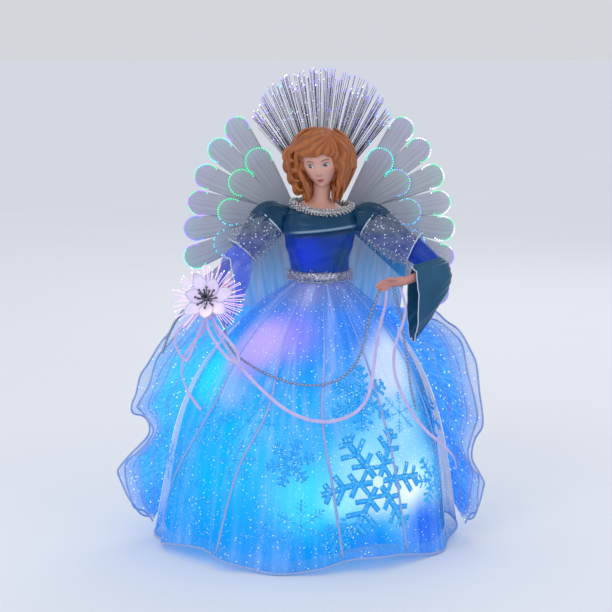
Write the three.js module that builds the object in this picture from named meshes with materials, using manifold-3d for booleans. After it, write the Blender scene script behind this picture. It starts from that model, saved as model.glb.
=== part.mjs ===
// Angel tree topper with fibre-optic halo and wings, in millimetres, +Z up, front towards -Y.
// The origin is on the light cone's axis in the plane of its foot, where the tree's tip enters.
// Left and right are the angel's own: its left is +X.

import * as THREE from "three";
import { mergeGeometries, mergeVertices } from "three/addons/utils/BufferGeometryUtils.js";
import Module from "manifold-3d";

const wasm = await Module();
wasm.setup();

// Clearances
const seatGap = 0.3;
const runningGap = 0.3;
const cutOverrun = 1;

// Light cone, which goes over the tree's tip
const coneHeight = 226;
const coneFootRadius = 60;
const coneTopRadius = 19;
const coneWall = 2;
const footFlangeWidth = 7;
const footFlangeThickness = 2.5;
const ledgeDepth = 128;
const ledgeThickness = 3;
const ledgeHoleRadius = 31;

// Lamp housing on the ledge, with its lid and screws
const housingRadius = 26;
const housingWall = 1.8;
const housingHeight = 52;
const housingFlangeThickness = 5;
const lidThickness = 2;
const lidClearance = 0.6;
const lidPlatformHeight = 3;
const screwCount = 2;
const screwCircleRadius = 27.6;
const screwShankRadius = 1;
const screwHeadRadius = 2.1;
const screwHeadHeight = 1.4;
const screwDepth = 4;

// Light source, motor and colour wheel
const boardThickness = 1.6;
const boardClearance = 0.6;
const lensRadius = 3.4;
const lensHeight = 4.5;
const motorRadius = 5;
const motorHeight = 14;
const motorOffset = 9;
const motorShaftRadius = 1;
const motorShaftLength = 3;
const wheelRadius = 14;
const wheelThickness = 1.2;
const wheelHubRadius = 2.6;
const wheelHubHeight = 3.4;
const wheelLift = 0.6;
const wheelWindowCount = 6;
const wheelWindowRadius = 3.2;

// Fibre bundle from the light source to the halo
const trunkRadius = 3.6;
const trunkClearance = 0.6;
const ferruleWall = 1;
const ferruleLength = 34;
const ferruleFlangeRadius = 8;
const ferruleFlangeThickness = 2;
const ferruleLift = 2.4;
// The bundle's way through the torso: across and back as shares of the halo's place, up as a share
// of the torso's height
const trunkShares = [
  [0, 0.12, 0.3],
  [0, 0.55, 0.62],
  [0.5, 0.93, 0.86],
  [1, 1, 1.1],
];

// Lamps on the cone that light the gown
const skirtLampCount = 3;
const skirtLampRadius = 4;
const skirtLampLength = 6;
const skirtLampHeight = 125;
// The lamp's profile as shares of its radius and length
const skirtLampShares = [
  [0, 0],
  [1, 0],
  [1, 0.5],
  [0.8, 0.5],
  [0.7, 1],
  [0, 1.3],
];

// Inlet and switch at the rear of the cone
const inletHeight = 16;
const inletAngle = 1.1;
const inletWidth = 9;
const inletTall = 8;
const inletDepth = 9;
const inletBoreRadius = 2.8;
const inletBoreDepth = 7;
const inletPinRadius = 1;
const switchHeight = 16;
const switchWidth = 15;
const switchTall = 8;
const switchDepth = 7;
const switchSlotDepth = 4;
const switchTravel = 4;
const knobWidth = 4;
const knobTall = 3;
const knobReach = 3;

// Gown
const gownHemHalfWidth = 130;
const gownHemFront = 112;
const gownHemBack = 104;
const gownHemShift = 12;
const gownWall = 1;
const layerGap = 2.4;
const foldDepth = 3.4;
const foldCount = 12;
const hemClearance = 1.6;
const hemWave = 11;
const hemWaveCount = 5;
const hemWavePhase = 2.4;
const bellFlareShare = 0.8;
const bellPower = 3.6;
const bellHemPower = 1.5;
const liningHemLift = 9;
const slopeStepShare = 0.02;

// Side ruffles, given by the outer edge as shares of the hem's half-width and the gown's height
const ruffleWall = 1.2;
const ruffleWave = 11;
const ruffleWaveCount = 5;
const ruffleSetback = 5;
const ruffleTopShare = 0.1;
const ruffleBottomShare = 0.9;
const leftRuffleShares = [
  [0.72, 0.886],
  [0.93, 0.81],
  [1.05, 0.64],
  [1.09, 0.47],
  [1.03, 0.33],
  [1.1, 0.22],
  [1.09, 0.13],
  [1.0, 0.06],
];
const rightRuffleShares = [
  [0.88, 0.886],
  [1.06, 0.76],
  [1.2, 0.6],
  [1.25, 0.51],
  [1.14, 0.42],
  [1.34, 0.27],
  [1.29, 0.15],
  [1.13, 0.08],
];

// Torso, as half-widths and half-depths at shares of its height
const torsoHeight = 64;
const torsoHalfWidth = 31;
const torsoHalfDepth = 23;
const torsoShares = [
  [0, 0.71, 0.89],
  [0.21, 0.74, 0.89],
  [0.56, 0.9, 1],
  [0.75, 1, 0.957],
  [0.9, 0.935, 0.74],
  [1, 0.52, 0.52],
];
const bodiceWall = 1.9;
const bodiceBottomShare = 0.03;
const bodiceTopShare = 0.95;
const collarRadius = 3.3;
const collarHalfWidth = 25.5;
const collarHalfDepth = 17.5;
const collarHeight = 62.5;
const collarDip = 4;
const trimHeight = 10;
const trimThickness = 3.4;
const trimShares = [
  [0, 0],
  [1, 0.2],
  [1, 0.8],
  [0, 1],
];

// Head and hair
const headOffsetX = 2;
const headForward = 6;
const headHalfWidth = 16;
const headHalfDepth = 18.5;
const headHalfHeight = 22.5;
const neckRadius = 8.6;
const neckHeight = 24;
const neckOverlap = 5.3;
// The neck stands between the torso's axis and the head's, given as shares of the head's own offset
const neckAcrossShare = 0.5;
const neckForwardShare = 0.33;
const noseRadius = 3;
const noseShares = [0.8, 1, 1.4];
const noseDropShare = 0.2;
const hairHalfWidth = 24.5;
const hairHalfDepth = 22;
const hairHalfHeight = 24;
const hairSetback = 5;
const hairLift = 1.1;
const hairGap = 1.3;
// Lobes of hair as shares of the hair's half sizes: place across, forward and up, then the lobe's
// own half sizes
const hairLobeShares = [
  [-0.9, 0.25, -0.55, 0.36, 0.5, 0.48],
  [0.95, 0.25, -0.5, 0.36, 0.5, 0.5],
  [-0.62, 0.05, -1.15, 0.33, 0.42, 0.52],
  [0.6, 0.05, -1.15, 0.33, 0.42, 0.52],
  [0.15, 0.66, 0.45, 0.6, 0.32, 0.42],
];
const faceWindowShares = [0.5, 1.3, 0.72];
const faceWindowDropShare = 0.3;

// Halo fan
const haloCentreX = 2;
const haloCentreRise = 1.7;
const haloSetback = 26;
const haloReach = 113.6;
const haloSideDrop = 22;
const haloHalfAngle = 0.72;
const haloCombRadius = 27;
const haloCombHalfThickness = 2;
const haloBundleCount = 12;
const haloColumnCount = 5;
const haloRowCount = 4;
const haloRowPitch = 1.1;
const haloStrandRadius = 0.3;
const haloBundleGapShare = 0.25;
const haloRaggedness = 4;
const haloCombShare = 1.05;
const haloDropPower = 2.5;

// Wing bracket, hinges and petals
const bracketHalfWidth = 19;
const bracketRise = 20.7;
const bracketHeight = 26;
const bracketThickness = 2;
const lugThickness = 2;
const lugHalfWidth = 2.3;
const hingeOffset = 14;
const hingeSetback = 4.2;
const hingePostRadius = 1.6;
const hingeTubeWall = 1.2;
const wingRootX = 20;
const wingRootRise = 50.7;
const wingPlateThickness = 1.2;
// The root plate's outline, across from the hinge and up from the hinge tube's foot
const wingPlateShares = [
  [0, 0.05],
  [0.75, 0.35],
  [1, 1.15],
  [0.7, 1.6],
  [0.3, 1.45],
  [0, 0.9],
];
const wingPlateWidth = 16;
const petalThickness = 0.8;
const petalRootReach = 6;
const petalRootHalfWidth = 3.2;
const outerPetalRadius = 11;
const outerPetalReach = 92;
const innerPetalRadius = 12;
const innerPetalReach = 58;
// Petal angles from straight up, in degrees, with their reach as a share of the row's reach
const outerPetalDegrees = [34, 49, 66, 82, 97, 112, 129];
const outerPetalShares = [0.99, 0.95, 0.925, 0.92, 0.96, 1.03, 1.17];
const innerPetalDegrees = [34, 58, 86, 111];
const innerPetalShares = [1, 0.96, 0.98, 1.12];

// Arms, sleeves, cuffs and hands
const shoulderRise = 52.7;
const shoulderPinRadius = 2;
const shoulderPinDepth = 9;
const armholeGap = 0.5;
const sleeveWall = 1.1;
const armRadius = 3.2;
const armReach = 100;

// The flower in the right hand
const flowerAside = 4.3;
const flowerForward = 17.5;
const flowerRise = 4.5;
const flowerTilt = 0.42;
const flowerTurn = -0.17;
const flowerDiscRadius = 4;
const flowerDiscThickness = 1.3;
const flowerPetalCount = 7;
const flowerPetalLength = 24;
const flowerPetalHalfWidth = 6.5;
const flowerPetalThickness = 0.7;
const flowerPetalRise = 0.5;
const flowerPetalRiseStep = 0.12;
const flowerPetalShortShare = 0.12;
const petalRootShare = 0.12;
const petalRootWidthShare = 0.16;
// One side of the flower petal's outline, along and across
const flowerPetalShares = [
  [petalRootShare, petalRootWidthShare],
  [0.5, 0.85],
  [0.75, 0.9],
];
const stamenCount = 14;
const stamenLength = 10;
const stamenRadius = 0.5;
const stamenRootShare = 0.6;
const stamenTipShare = 1.3;
const stamenDiscShare = 0.4;
const stamenLean = 0.98;
const stamenLeanStep = 0.3;
const rayCount = 46;
const rayLength = 30;
const rayRadius = 0.35;
const rayFreeAngle = 0.55;
const rayDroop = 0.15;
const rayShortShare = 0.15;
const rayPhase = 5;
const rayLevelShares = [0.75, 0.25];
const rayRootShare = 0.75;
const stemRadius = 2.2;
const stemLength = 13;
const knotRadius = 5;
const knotStretchShare = 1.2;
const knotAside = 3.3;
const knotForward = 11.5;
const knotDrop = 7.3;

// Cords
const beadDiameter = 2.5;
const ribbonDiameter = 3;
const cordSides = 8;
const cordStepShare = 3;

// How finely round shapes are divided
const ringSides = 20;
const limbSides = 10;
const ballRows = 10;
const lobeRows = 6;
const capRows = 8;
const skullSides = 16;
const bodySides = 16;
const boreSides = 12;
const pinSides = 8;
const loopStations = 20;
const collarSides = 5;
const strandSides = 3;
const combStations = 9;
const petalTipPoints = 8;
const domeSteps = 3;
const gownColumns = 48;
const gownRows = 6;
const liningColumns = 24;
const liningRows = gownRows;
const ruffleRows = 20;
const ruffleColumns = 4;
const maxCordSteps = 80;
const weldDistance = 1e-4;
const tau = 2 * Math.PI;

const finish = (color, roughness, metalness = 0, more = {}) =>
  new THREE.MeshStandardMaterial({ color, roughness, metalness, ...more });

const materials = {
  whitePlastic: finish(0xe8e6df, 0.5),
  greyPlastic: finish(0xb9bcc0, 0.45),
  blackPlastic: finish(0x1c1d20, 0.5),
  steel: finish(0xb4b6b8, 0.35, 1),
  circuitBoard: finish(0x1f5c35, 0.55),
  clearLens: finish(0xe9f4ff, 0.1, 0, { transparent: true, opacity: 0.6 }),
  tintedFilm: finish(0x6a62d8, 0.2, 0, { transparent: true, opacity: 0.7 }),
  fibre: finish(0xb9b4cf, 0.15, 0, { transparent: true, opacity: 0.7 }),
  skin: finish(0xe2b39e, 0.55),
  hair: finish(0xb5652f, 0.6),
  satin: finish(0x1f5fae, 0.35),
  organza: finish(0x58b9ee, 0.45, 0, { transparent: true, opacity: 0.75 }),
  lining: finish(0x9fd8f4, 0.6),
  tulle: finish(0x8fa6c8, 0.6, 0, { transparent: true, opacity: 0.7 }),
  silver: finish(0xc4c3c8, 0.3, 0.9),
  whiteOrganza: finish(0xefeef4, 0.5),
  ribbon: finish(0xcdb9e4, 0.35),
  stamen: finish(0x3c3d44, 0.4, 0.6),
};

const group = new THREE.Group();
const vector = (x, y, z) => new THREE.Vector3(x, y, z);

function put(name, geometry, material) {
  const mesh = new THREE.Mesh(geometry, material);
  mesh.name = name;
  group.add(mesh);
  return mesh;
}

// A geometry as a solid that can be joined and cut, and back again
function toSolid(geometry) {
  const bare = new THREE.BufferGeometry();
  bare.setAttribute("position", geometry.getAttribute("position"));
  if (geometry.index) bare.setIndex(geometry.index);
  const merged = mergeVertices(bare, weldDistance);
  const triVerts = new Uint32Array(merged.index.array);
  const vertProperties = new Float32Array(merged.attributes.position.array);
  return new wasm.Manifold(new wasm.Mesh({ numProp: 3, vertProperties, triVerts }));
}

function toGeometry(solid) {
  const mesh = solid.getMesh();
  const geometry = new THREE.BufferGeometry();
  geometry.setAttribute("position", new THREE.BufferAttribute(mesh.vertProperties, 3));
  geometry.setIndex(new THREE.BufferAttribute(mesh.triVerts, 1));
  return geometry;
}

const join = (...geometries) =>
  toGeometry(geometries.map(toSolid).reduce((whole, piece) => whole.add(piece)));
const cut = (geometry, ...tools) =>
  toGeometry(tools.map(toSolid).reduce((whole, tool) => whole.subtract(tool), toSolid(geometry)));

// Turns a list of triangles so that they face out
function facingOut(points, triangles) {
  let volume = 0;
  for (const [a, b, c] of triangles) volume += points[a].dot(points[b].clone().cross(points[c]));
  const turned = volume < 0 ? triangles.map(([a, b, c]) => [a, c, b]) : triangles;
  const geometry = new THREE.BufferGeometry().setFromPoints(points);
  return geometry.setIndex(turned.flat());
}

// The two triangles of a quad, split along either diagonal
const splitQuad = (a, b, c, d, isOther) =>
  isOther ? [[a, b, d], [b, c, d]] : [[a, b, c], [a, c, d]];

// Skins a row of rings with the same number of points. A loop closes on itself, a row gets end caps.
// From insideFrom on, the rings run back on the wall's inner face, and their quads are split to match.
function weave(rings, isLoop, insideFrom = rings.length) {
  const sides = rings[0].length;
  const points = rings.flat();
  const triangles = [];
  const spans = isLoop ? rings.length : rings.length - 1;
  for (let row = 0; row < spans; row++) {
    const low = row * sides;
    const high = ((row + 1) % rings.length) * sides;
    for (let k = 0; k < sides; k++) {
      const next = (k + 1) % sides;
      triangles.push(...splitQuad(low + k, low + next, high + next, high + k, row >= insideFrom));
    }
  }
  if (!isLoop) {
    for (const [row, isStart] of [[0, true], [rings.length - 1, false]]) {
      for (let k = 1; k < sides - 1; k++) {
        const fan = [0, k, k + 1].map((index) => row * sides + index);
        triangles.push(isStart ? fan.reverse() : fan);
      }
    }
  }
  return facingOut(points, triangles);
}

// A sheet between two grids of points, closed round its border
function sheet(front, back) {
  const rings = front.map((row, k) => [...row, ...back[k].slice().reverse()]);
  const sides = rings[0].length;
  const points = rings.flat();
  const triangles = [];
  for (let row = 0; row < rings.length - 1; row++) {
    for (let k = 0; k < sides; k++) {
      const next = (k + 1) % sides;
      const low = row * sides;
      const high = low + sides;
      triangles.push(...splitQuad(low + k, low + next, high + next, high + k, k >= sides / 2));
    }
  }
  for (const [row, isStart] of [[0, true], [rings.length - 1, false]]) {
    for (let k = 0; k < sides / 2 - 1; k++) {
      const far = sides - 1 - k;
      const quad = [k, k + 1, far - 1, far].map((index) => row * sides + index);
      if (isStart) quad.reverse();
      triangles.push([quad[0], quad[1], quad[2]], [quad[0], quad[2], quad[3]]);
    }
  }
  return facingOut(points, triangles);
}

const turned = (profile, sides = ringSides) =>
  new THREE.LatheGeometry(profile.map(([radius, height]) => new THREE.Vector2(radius, height)), sides)
    .rotateX(Math.PI / 2);
const closed = (profile) => [...profile, profile[0]];
const rod = (radius, bottom, top, sides = limbSides) =>
  new THREE.CylinderGeometry(radius, radius, top - bottom, sides)
    .rotateX(Math.PI / 2)
    .translate(0, 0, (bottom + top) / 2);
const block = (width, depth, height) => new THREE.BoxGeometry(width, depth, height);
const ball = (x, y, z, across = limbSides, up = ballRows) =>
  new THREE.SphereGeometry(1, across, up).rotateX(Math.PI / 2).scale(x, y, z);

function ellipse(centre, halfWidth, halfDepth, sides = ringSides) {
  return Array.from({ length: sides }, (_, k) => {
    const angle = (tau * k) / sides;
    return vector(
      centre.x + halfWidth * Math.cos(angle),
      centre.y + halfDepth * Math.sin(angle),
      centre.z,
    );
  });
}

// A ring across a limb that runs along a direction
function across(centre, direction, tall, wide, sides = limbSides) {
  const along = direction.clone().normalize();
  const side = vector(0, 0, 1).cross(along).normalize();
  const up = along.clone().cross(side);
  return Array.from({ length: sides }, (_, k) => {
    const angle = (tau * k) / sides;
    return centre.clone()
      .addScaledVector(up, tall * Math.cos(angle))
      .addScaledVector(side, wide * Math.sin(angle));
  });
}

// Rings along a list of stations [x, y, z, tall, wide], each made larger or smaller by grow.
// Upright rings stand straight up, and a limb that starts at the shoulder starts in the armhole's plane.
function limbRings(stations, grow, { isUpright = false, isAtShoulder = false } = {}) {
  const centres = stations.map(([x, y, z]) => vector(x, y, z));
  return stations.map(([, , , tall, wide], k) => {
    const before = centres[Math.max(k - 1, 0)];
    const after = centres[Math.min(k + 1, centres.length - 1)];
    const direction = after.clone().sub(before);
    if (isUpright) direction.z = 0;
    if (isAtShoulder && k === 0) direction.set(Math.sign(direction.x), 0, 0);
    return across(centres[k], direction, tall + grow, wide + grow);
  });
}
const limb = (stations, grow = 0, how = {}) => weave(limbRings(stations, grow, how), false);
function hollowLimb(stations, wall, how = {}) {
  const outside = limbRings(stations, 0, how);
  return weave([...outside, ...limbRings(stations, -wall, how).reverse()], true, outside.length);
}

function cord(points, diameter) {
  const stations = points.map(([x, y, z]) => vector(x, y, z));
  const route = new THREE.CatmullRomCurve3(stations, false, "centripetal");
  const section = new THREE.Shape(
    Array.from({ length: cordSides }, (_, k) => {
      const angle = (tau * k) / cordSides;
      return new THREE.Vector2(Math.cos(angle) * diameter / 2, Math.sin(angle) * diameter / 2);
    }),
  );
  const steps = Math.min(maxCordSteps, Math.ceil(route.getLength() / (cordStepShare * diameter)));
  return new THREE.ExtrudeGeometry(section, { steps, extrudePath: route, bevelEnabled: false });
}

// Strands of three sides, each from a root point to a tip point
function strands(pairs, rootRadius, tipRadius) {
  return mergeGeometries(
    pairs.map(([root, tip]) => {
      const along = tip.clone().sub(root);
      return weave([
        across(root, along, rootRadius, rootRadius, strandSides),
        across(tip, along, tipRadius, tipRadius, strandSides),
      ], false);
    }),
  );
}

const coneRadius = (height) => coneFootRadius + ((coneTopRadius - coneFootRadius) * height) / coneHeight;
const coneInnerRadius = (height) => coneRadius(height) - coneWall;
const coneSlope = Math.atan((coneFootRadius - coneTopRadius) / coneHeight);

const ledgeHeight = coneHeight - ledgeDepth;
const ledgeTop = ledgeHeight + ledgeThickness;
const housingBottom = ledgeTop + seatGap;
const housingTop = housingBottom + housingHeight;
const housingBore = housingRadius - housingWall;
const housingFlangeRadius = coneInnerRadius(housingBottom + housingFlangeThickness) - lidClearance;
const lidTop = housingBottom - seatGap;
const lidRadius = ledgeHoleRadius - lidClearance;
const platformTop = housingBottom + lidPlatformHeight;
const boardBottom = platformTop + seatGap;
const boardTop = boardBottom + boardThickness;
const motorBottom = boardTop + seatGap;
const motorTop = motorBottom + motorHeight;
const wheelBottom = motorTop + wheelLift;
const wheelTop = wheelBottom + wheelHubHeight;
const ferruleBottom = wheelTop + ferruleLift;
const ferruleRadius = trunkRadius + runningGap + ferruleWall;
const torsoBottom = coneHeight + seatGap;
const torsoTop = torsoBottom + torsoHeight;
const headHeight = torsoTop + neckHeight + headHalfHeight - neckOverlap;
const haloCentreHeight = torsoTop + haloCentreRise;
const bracketBottom = torsoBottom + bracketRise;
const wingRootHeight = torsoBottom + wingRootRise;
const shoulderHeight = torsoBottom + shoulderRise;

function makeCone() {
  const profile = closed([
    [coneFootRadius, 0],
    [coneTopRadius, coneHeight],
    [trunkRadius + trunkClearance, coneHeight],
    [trunkRadius + trunkClearance, coneHeight - coneWall],
    [coneInnerRadius(coneHeight - coneWall), coneHeight - coneWall],
    [coneInnerRadius(ledgeTop), ledgeTop],
    [ledgeHoleRadius, ledgeTop],
    [ledgeHoleRadius, ledgeHeight],
    [coneInnerRadius(ledgeHeight), ledgeHeight],
    [coneInnerRadius(footFlangeThickness), footFlangeThickness],
    [coneFootRadius - footFlangeWidth, footFlangeThickness],
    [coneFootRadius - footFlangeWidth, 0],
  ]);
  put("base_cone", turned(profile), materials.whitePlastic);
}

const screwPlaces = Array.from({ length: screwCount }, (_, k) => {
  const angle = (tau * k) / screwCount;
  return vector(Math.cos(angle) * screwCircleRadius, Math.sin(angle) * screwCircleRadius, 0);
});
const atScrews = (make) => screwPlaces.map(({ x, y }) => make().translate(x, y, 0));

function makeHousing() {
  const body = turned(closed([
    [housingBore, housingBottom],
    [housingFlangeRadius, housingBottom],
    [housingFlangeRadius, housingBottom + housingFlangeThickness],
    [housingRadius, housingBottom + housingFlangeThickness],
    [housingRadius, housingTop],
    [ferruleRadius + seatGap, housingTop],
    [ferruleRadius + seatGap, housingTop - housingWall],
    [housingBore, housingTop - housingWall],
  ]));
  const holes = atScrews(() =>
    rod(screwShankRadius + seatGap, housingBottom - cutOverrun, housingBottom + screwDepth + seatGap));
  put("lamp_housing", cut(body, ...holes), materials.whitePlastic);
}

function makeLid() {
  const plate = turned([
    [0, lidTop - lidThickness],
    [lidRadius, lidTop - lidThickness],
    [lidRadius, lidTop],
    [housingBore - lidClearance, lidTop],
    [housingBore - lidClearance, platformTop],
    [0, platformTop],
  ]);
  const holes = atScrews(() =>
    rod(screwShankRadius + seatGap, lidTop - lidThickness - cutOverrun, lidTop + cutOverrun));
  put("lamp_lid", cut(plate, ...holes), materials.whitePlastic);
  const headTop = lidTop - lidThickness - seatGap;
  screwPlaces.forEach(({ x, y }, k) => {
    const screw = turned([
      [0, headTop - screwHeadHeight],
      [screwHeadRadius, headTop - screwHeadHeight],
      [screwHeadRadius, headTop],
      [screwShankRadius, headTop],
      [screwShankRadius, housingBottom + screwDepth],
      [0, housingBottom + screwDepth],
    ], pinSides);
    put(`lid_screw_${k + 1}`, screw.translate(x, y, 0), materials.steel);
  });
}

function makeLightSource() {
  const board = rod(housingBore - lidClearance - boardClearance, boardBottom, boardTop, ringSides);
  put("led_board", board, materials.circuitBoard);
  const lensBottom = boardTop + seatGap;
  const dome = Array.from({ length: domeSteps + 1 }, (_, k) => {
    const angle = (Math.PI / 2) * (k / domeSteps);
    const height = lensBottom + lensHeight - lensRadius + lensRadius * Math.sin(angle);
    return [lensRadius * Math.cos(angle), height];
  });
  dome[dome.length - 1][0] = 0;
  const lens = turned([[0, lensBottom], [lensRadius, lensBottom], ...dome], boreSides);
  put("led_lens", lens, materials.clearLens);
  const motor = turned([
    [0, motorBottom],
    [motorRadius, motorBottom],
    [motorRadius, motorTop],
    [motorShaftRadius, motorTop],
    [motorShaftRadius, motorTop + motorShaftLength],
    [0, motorTop + motorShaftLength],
  ], boreSides);
  put("gear_motor", motor.translate(motorOffset, 0, 0), materials.steel);
}

function makeColourWheel() {
  const discBottom = wheelTop - wheelThickness;
  const shaftTop = motorTop + motorShaftLength + seatGap;
  const bore = motorShaftRadius + runningGap;
  const wheel = turned([
    [bore, wheelBottom],
    [wheelHubRadius, wheelBottom],
    [wheelHubRadius, discBottom],
    [wheelRadius, discBottom],
    [wheelRadius, wheelTop],
    [0, wheelTop],
    [0, shaftTop],
    [bore, shaftTop],
    [bore, wheelBottom],
  ], bodySides);
  const windowCircle = (wheelHubRadius + wheelRadius) / 2;
  const windows = Array.from({ length: wheelWindowCount }, (_, k) => {
    const angle = (tau * k) / wheelWindowCount + Math.PI;
    return rod(wheelWindowRadius, discBottom - cutOverrun, wheelTop + cutOverrun, pinSides)
      .translate(windowCircle * Math.cos(angle), windowCircle * Math.sin(angle), 0);
  });
  put("colour_wheel", cut(wheel, ...windows).translate(motorOffset, 0, 0), materials.tintedFilm);
}

function makeFerrule() {
  const bore = trunkRadius + runningGap;
  const flangeBottom = housingTop + seatGap;
  const sleeve = turned(closed([
    [bore, ferruleBottom],
    [ferruleRadius, ferruleBottom],
    [ferruleRadius, flangeBottom],
    [ferruleFlangeRadius, flangeBottom],
    [ferruleFlangeRadius, flangeBottom + ferruleFlangeThickness],
    [ferruleRadius, flangeBottom + ferruleFlangeThickness],
    [ferruleRadius, ferruleBottom + ferruleLength],
    [bore, ferruleBottom + ferruleLength],
  ]), boreSides);
  put("fibre_ferrule", sleeve, materials.greyPlastic);
}

// The bundle climbs inside the torso, leaves it between the shoulders and stands behind the neck
const combUnderside = Math.sqrt((haloCombRadius - haloCombHalfThickness) ** 2 - trunkRadius ** 2);
const trunkEnd = haloCentreHeight + combUnderside - 2 * seatGap;
const trunkStations = [
  [0, 0, ferruleBottom],
  [0, 0, coneHeight],
  ...trunkShares.map(([x, y, z]) => [haloCentreX * x, haloSetback * y, torsoBottom + torsoHeight * z]),
  [haloCentreX, haloSetback, trunkEnd],
];
function trunkSolid(grow) {
  const rings = trunkStations.map(([x, y, z], k) => {
    const before = trunkStations[Math.max(k - 1, 0)];
    const after = trunkStations[Math.min(k + 1, trunkStations.length - 1)];
    const slant = Math.atan2(after[1] - before[1], after[2] - before[2]);
    const isEnd = k === 0 || k === trunkStations.length - 1;
    const tilt = isEnd ? 0 : slant;
    return ellipse(vector(0, 0, 0), trunkRadius + grow, trunkRadius + grow, limbSides)
      .map((point) => point.applyAxisAngle(vector(1, 0, 0), -tilt).add(vector(x, y, z)));
  });
  return weave(rings, false);
}

function makeSkirtLamps() {
  for (let k = 0; k < skirtLampCount; k++) {
    const angle = -Math.PI / 2 + (tau * (k + 0.5)) / skirtLampCount;
    const profile = skirtLampShares.map(([out, along]) =>
      [skirtLampRadius * out, skirtLampLength * along]);
    const lamp = turned(profile, pinSides)
      .rotateY(Math.PI / 2 - coneSlope)
      .translate(coneRadius(skirtLampHeight) + 2 * seatGap, 0, skirtLampHeight);
    put(`skirt_lamp_${k + 1}`, lamp.rotateZ(angle), materials.clearLens);
  }
}

// A fitting on the rear of the cone: local X is out of the wall, local Z up the wall
const onCone = (geometry, height, angle, push) =>
  geometry.translate(push, 0, 0)
    .rotateY(-coneSlope)
    .translate(coneRadius(height) + seatGap, 0, height)
    .rotateZ(angle);

function makeInletAndSwitch() {
  const inletBlock = block(inletDepth, inletWidth, inletTall);
  const boreTurn = (radius) => rod(radius, 0, inletBoreDepth + cutOverrun, boreSides).rotateY(Math.PI / 2);
  const bore = boreTurn(inletBoreRadius).translate(inletDepth / 2 - inletBoreDepth, 0, 0);
  const pin = rod(inletPinRadius, -cutOverrun, inletBoreDepth - cutOverrun, pinSides).rotateY(Math.PI / 2)
    .translate(inletDepth / 2 - inletBoreDepth, 0, 0);
  const inlet = join(cut(inletBlock, bore), pin);
  const facetSag = coneRadius(inletHeight) * (1 - Math.cos(Math.PI / ringSides));
  const seated = onCone(inlet, inletHeight, inletAngle, inletDepth / 2 - facetSag);
  put("dc_socket", seated, materials.blackPlastic);

  const slotWidth = knobWidth + switchTravel + 2 * runningGap;
  const slot = block(switchSlotDepth + cutOverrun, slotWidth, knobTall + 2 * runningGap)
    .translate((switchDepth - switchSlotDepth + cutOverrun) / 2, 0, 0);
  const switchPush = switchDepth / 2 + switchWidth ** 2 / (8 * coneRadius(switchHeight));
  const body = cut(block(switchDepth, switchWidth, switchTall), slot);
  put("switch_body", onCone(body, switchHeight, Math.PI / 2, switchPush), materials.blackPlastic);
  const knobDepth = switchSlotDepth - runningGap + knobReach;
  const knob = block(knobDepth, knobWidth, knobTall)
    .translate(switchDepth / 2 - switchSlotDepth + runningGap + knobDepth / 2, switchTravel / 2, 0);
  put("switch_knob", onCone(knob, switchHeight, Math.PI / 2, switchPush), materials.greyPlastic);
}

// The gown hangs from a waist that fits round the cone's top
const gownTop = coneHeight - seatGap;
const gownWaist = coneRadius(gownTop) + 2 * seatGap + 2 * gownWall + layerGap;
const bellShare = (t) =>
  bellFlareShare * (1 - (1 - Math.min(t, 1)) ** bellPower) + (1 - bellFlareShare) * t ** bellHemPower;

function gownPoint(angle, t, fold, hemLift) {
  const spread = bellShare(t);
  const reach = (hem) => gownWaist + (hem - gownWaist) * spread + fold * t * Math.cos(foldCount * angle);
  const wave = hemWave * (0.5 - 0.5 * Math.cos(hemWaveCount * angle + hemWavePhase));
  const hemDepth = Math.sin(angle) < 0 ? gownHemFront : gownHemBack;
  return vector(
    reach(gownHemHalfWidth) * Math.cos(angle) - gownHemShift * spread,
    reach(hemDepth) * Math.sin(angle),
    gownTop - t * (gownTop - hemClearance - hemLift - wave),
  );
}

// Rings of a bell of cloth, pushed inwards along its own normal
function bellRings(columns, rows, fold, hemLift, inset) {
  return Array.from({ length: rows }, (_, row) => {
    const t = row / (rows - 1);
    return Array.from({ length: columns }, (_, k) => {
      const angle = (tau * k) / columns;
      const at = gownPoint(angle, t, fold, hemLift);
      const near = (turn, slide) => gownPoint(angle + turn, Math.max(t + slide, 0), fold, hemLift);
      const down = near(0, slopeStepShare).sub(near(0, -slopeStepShare));
      const round = near(slopeStepShare, 0).sub(near(-slopeStepShare, 0));
      const out = t === 0 ? vector(Math.cos(angle), Math.sin(angle), 0) : down.cross(round).normalize();
      return at.addScaledVector(out, -inset);
    });
  });
}

function bell(columns, rows, fold, hemLift, inset, wall) {
  const outside = bellRings(columns, rows, fold, hemLift, inset);
  const inside = bellRings(columns, rows, fold, hemLift, inset + wall);
  return weave([...outside, ...inside.reverse()], true, rows);
}

function makeGown() {
  put("overskirt", bell(gownColumns, gownRows, foldDepth, 0, 0, gownWall), materials.organza);
  const liningInset = gownWall + layerGap;
  const liningPoint = (columns, rows, inset) =>
    bellRings(columns, rows, 0, liningHemLift, inset).map((ring, row) => {
      const t = row / (rows - 1);
      return ring.map((point) => {
        const flat = vector(point.x, point.y, 0).normalize();
        return point.addScaledVector(flat, -foldDepth * t);
      });
    });
  const outside = liningPoint(liningColumns, liningRows, liningInset);
  const inside = liningPoint(liningColumns, liningRows, liningInset + gownWall);
  put("skirt_lining", weave([...outside, ...inside.reverse()], true, liningRows), materials.lining);
}

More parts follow.
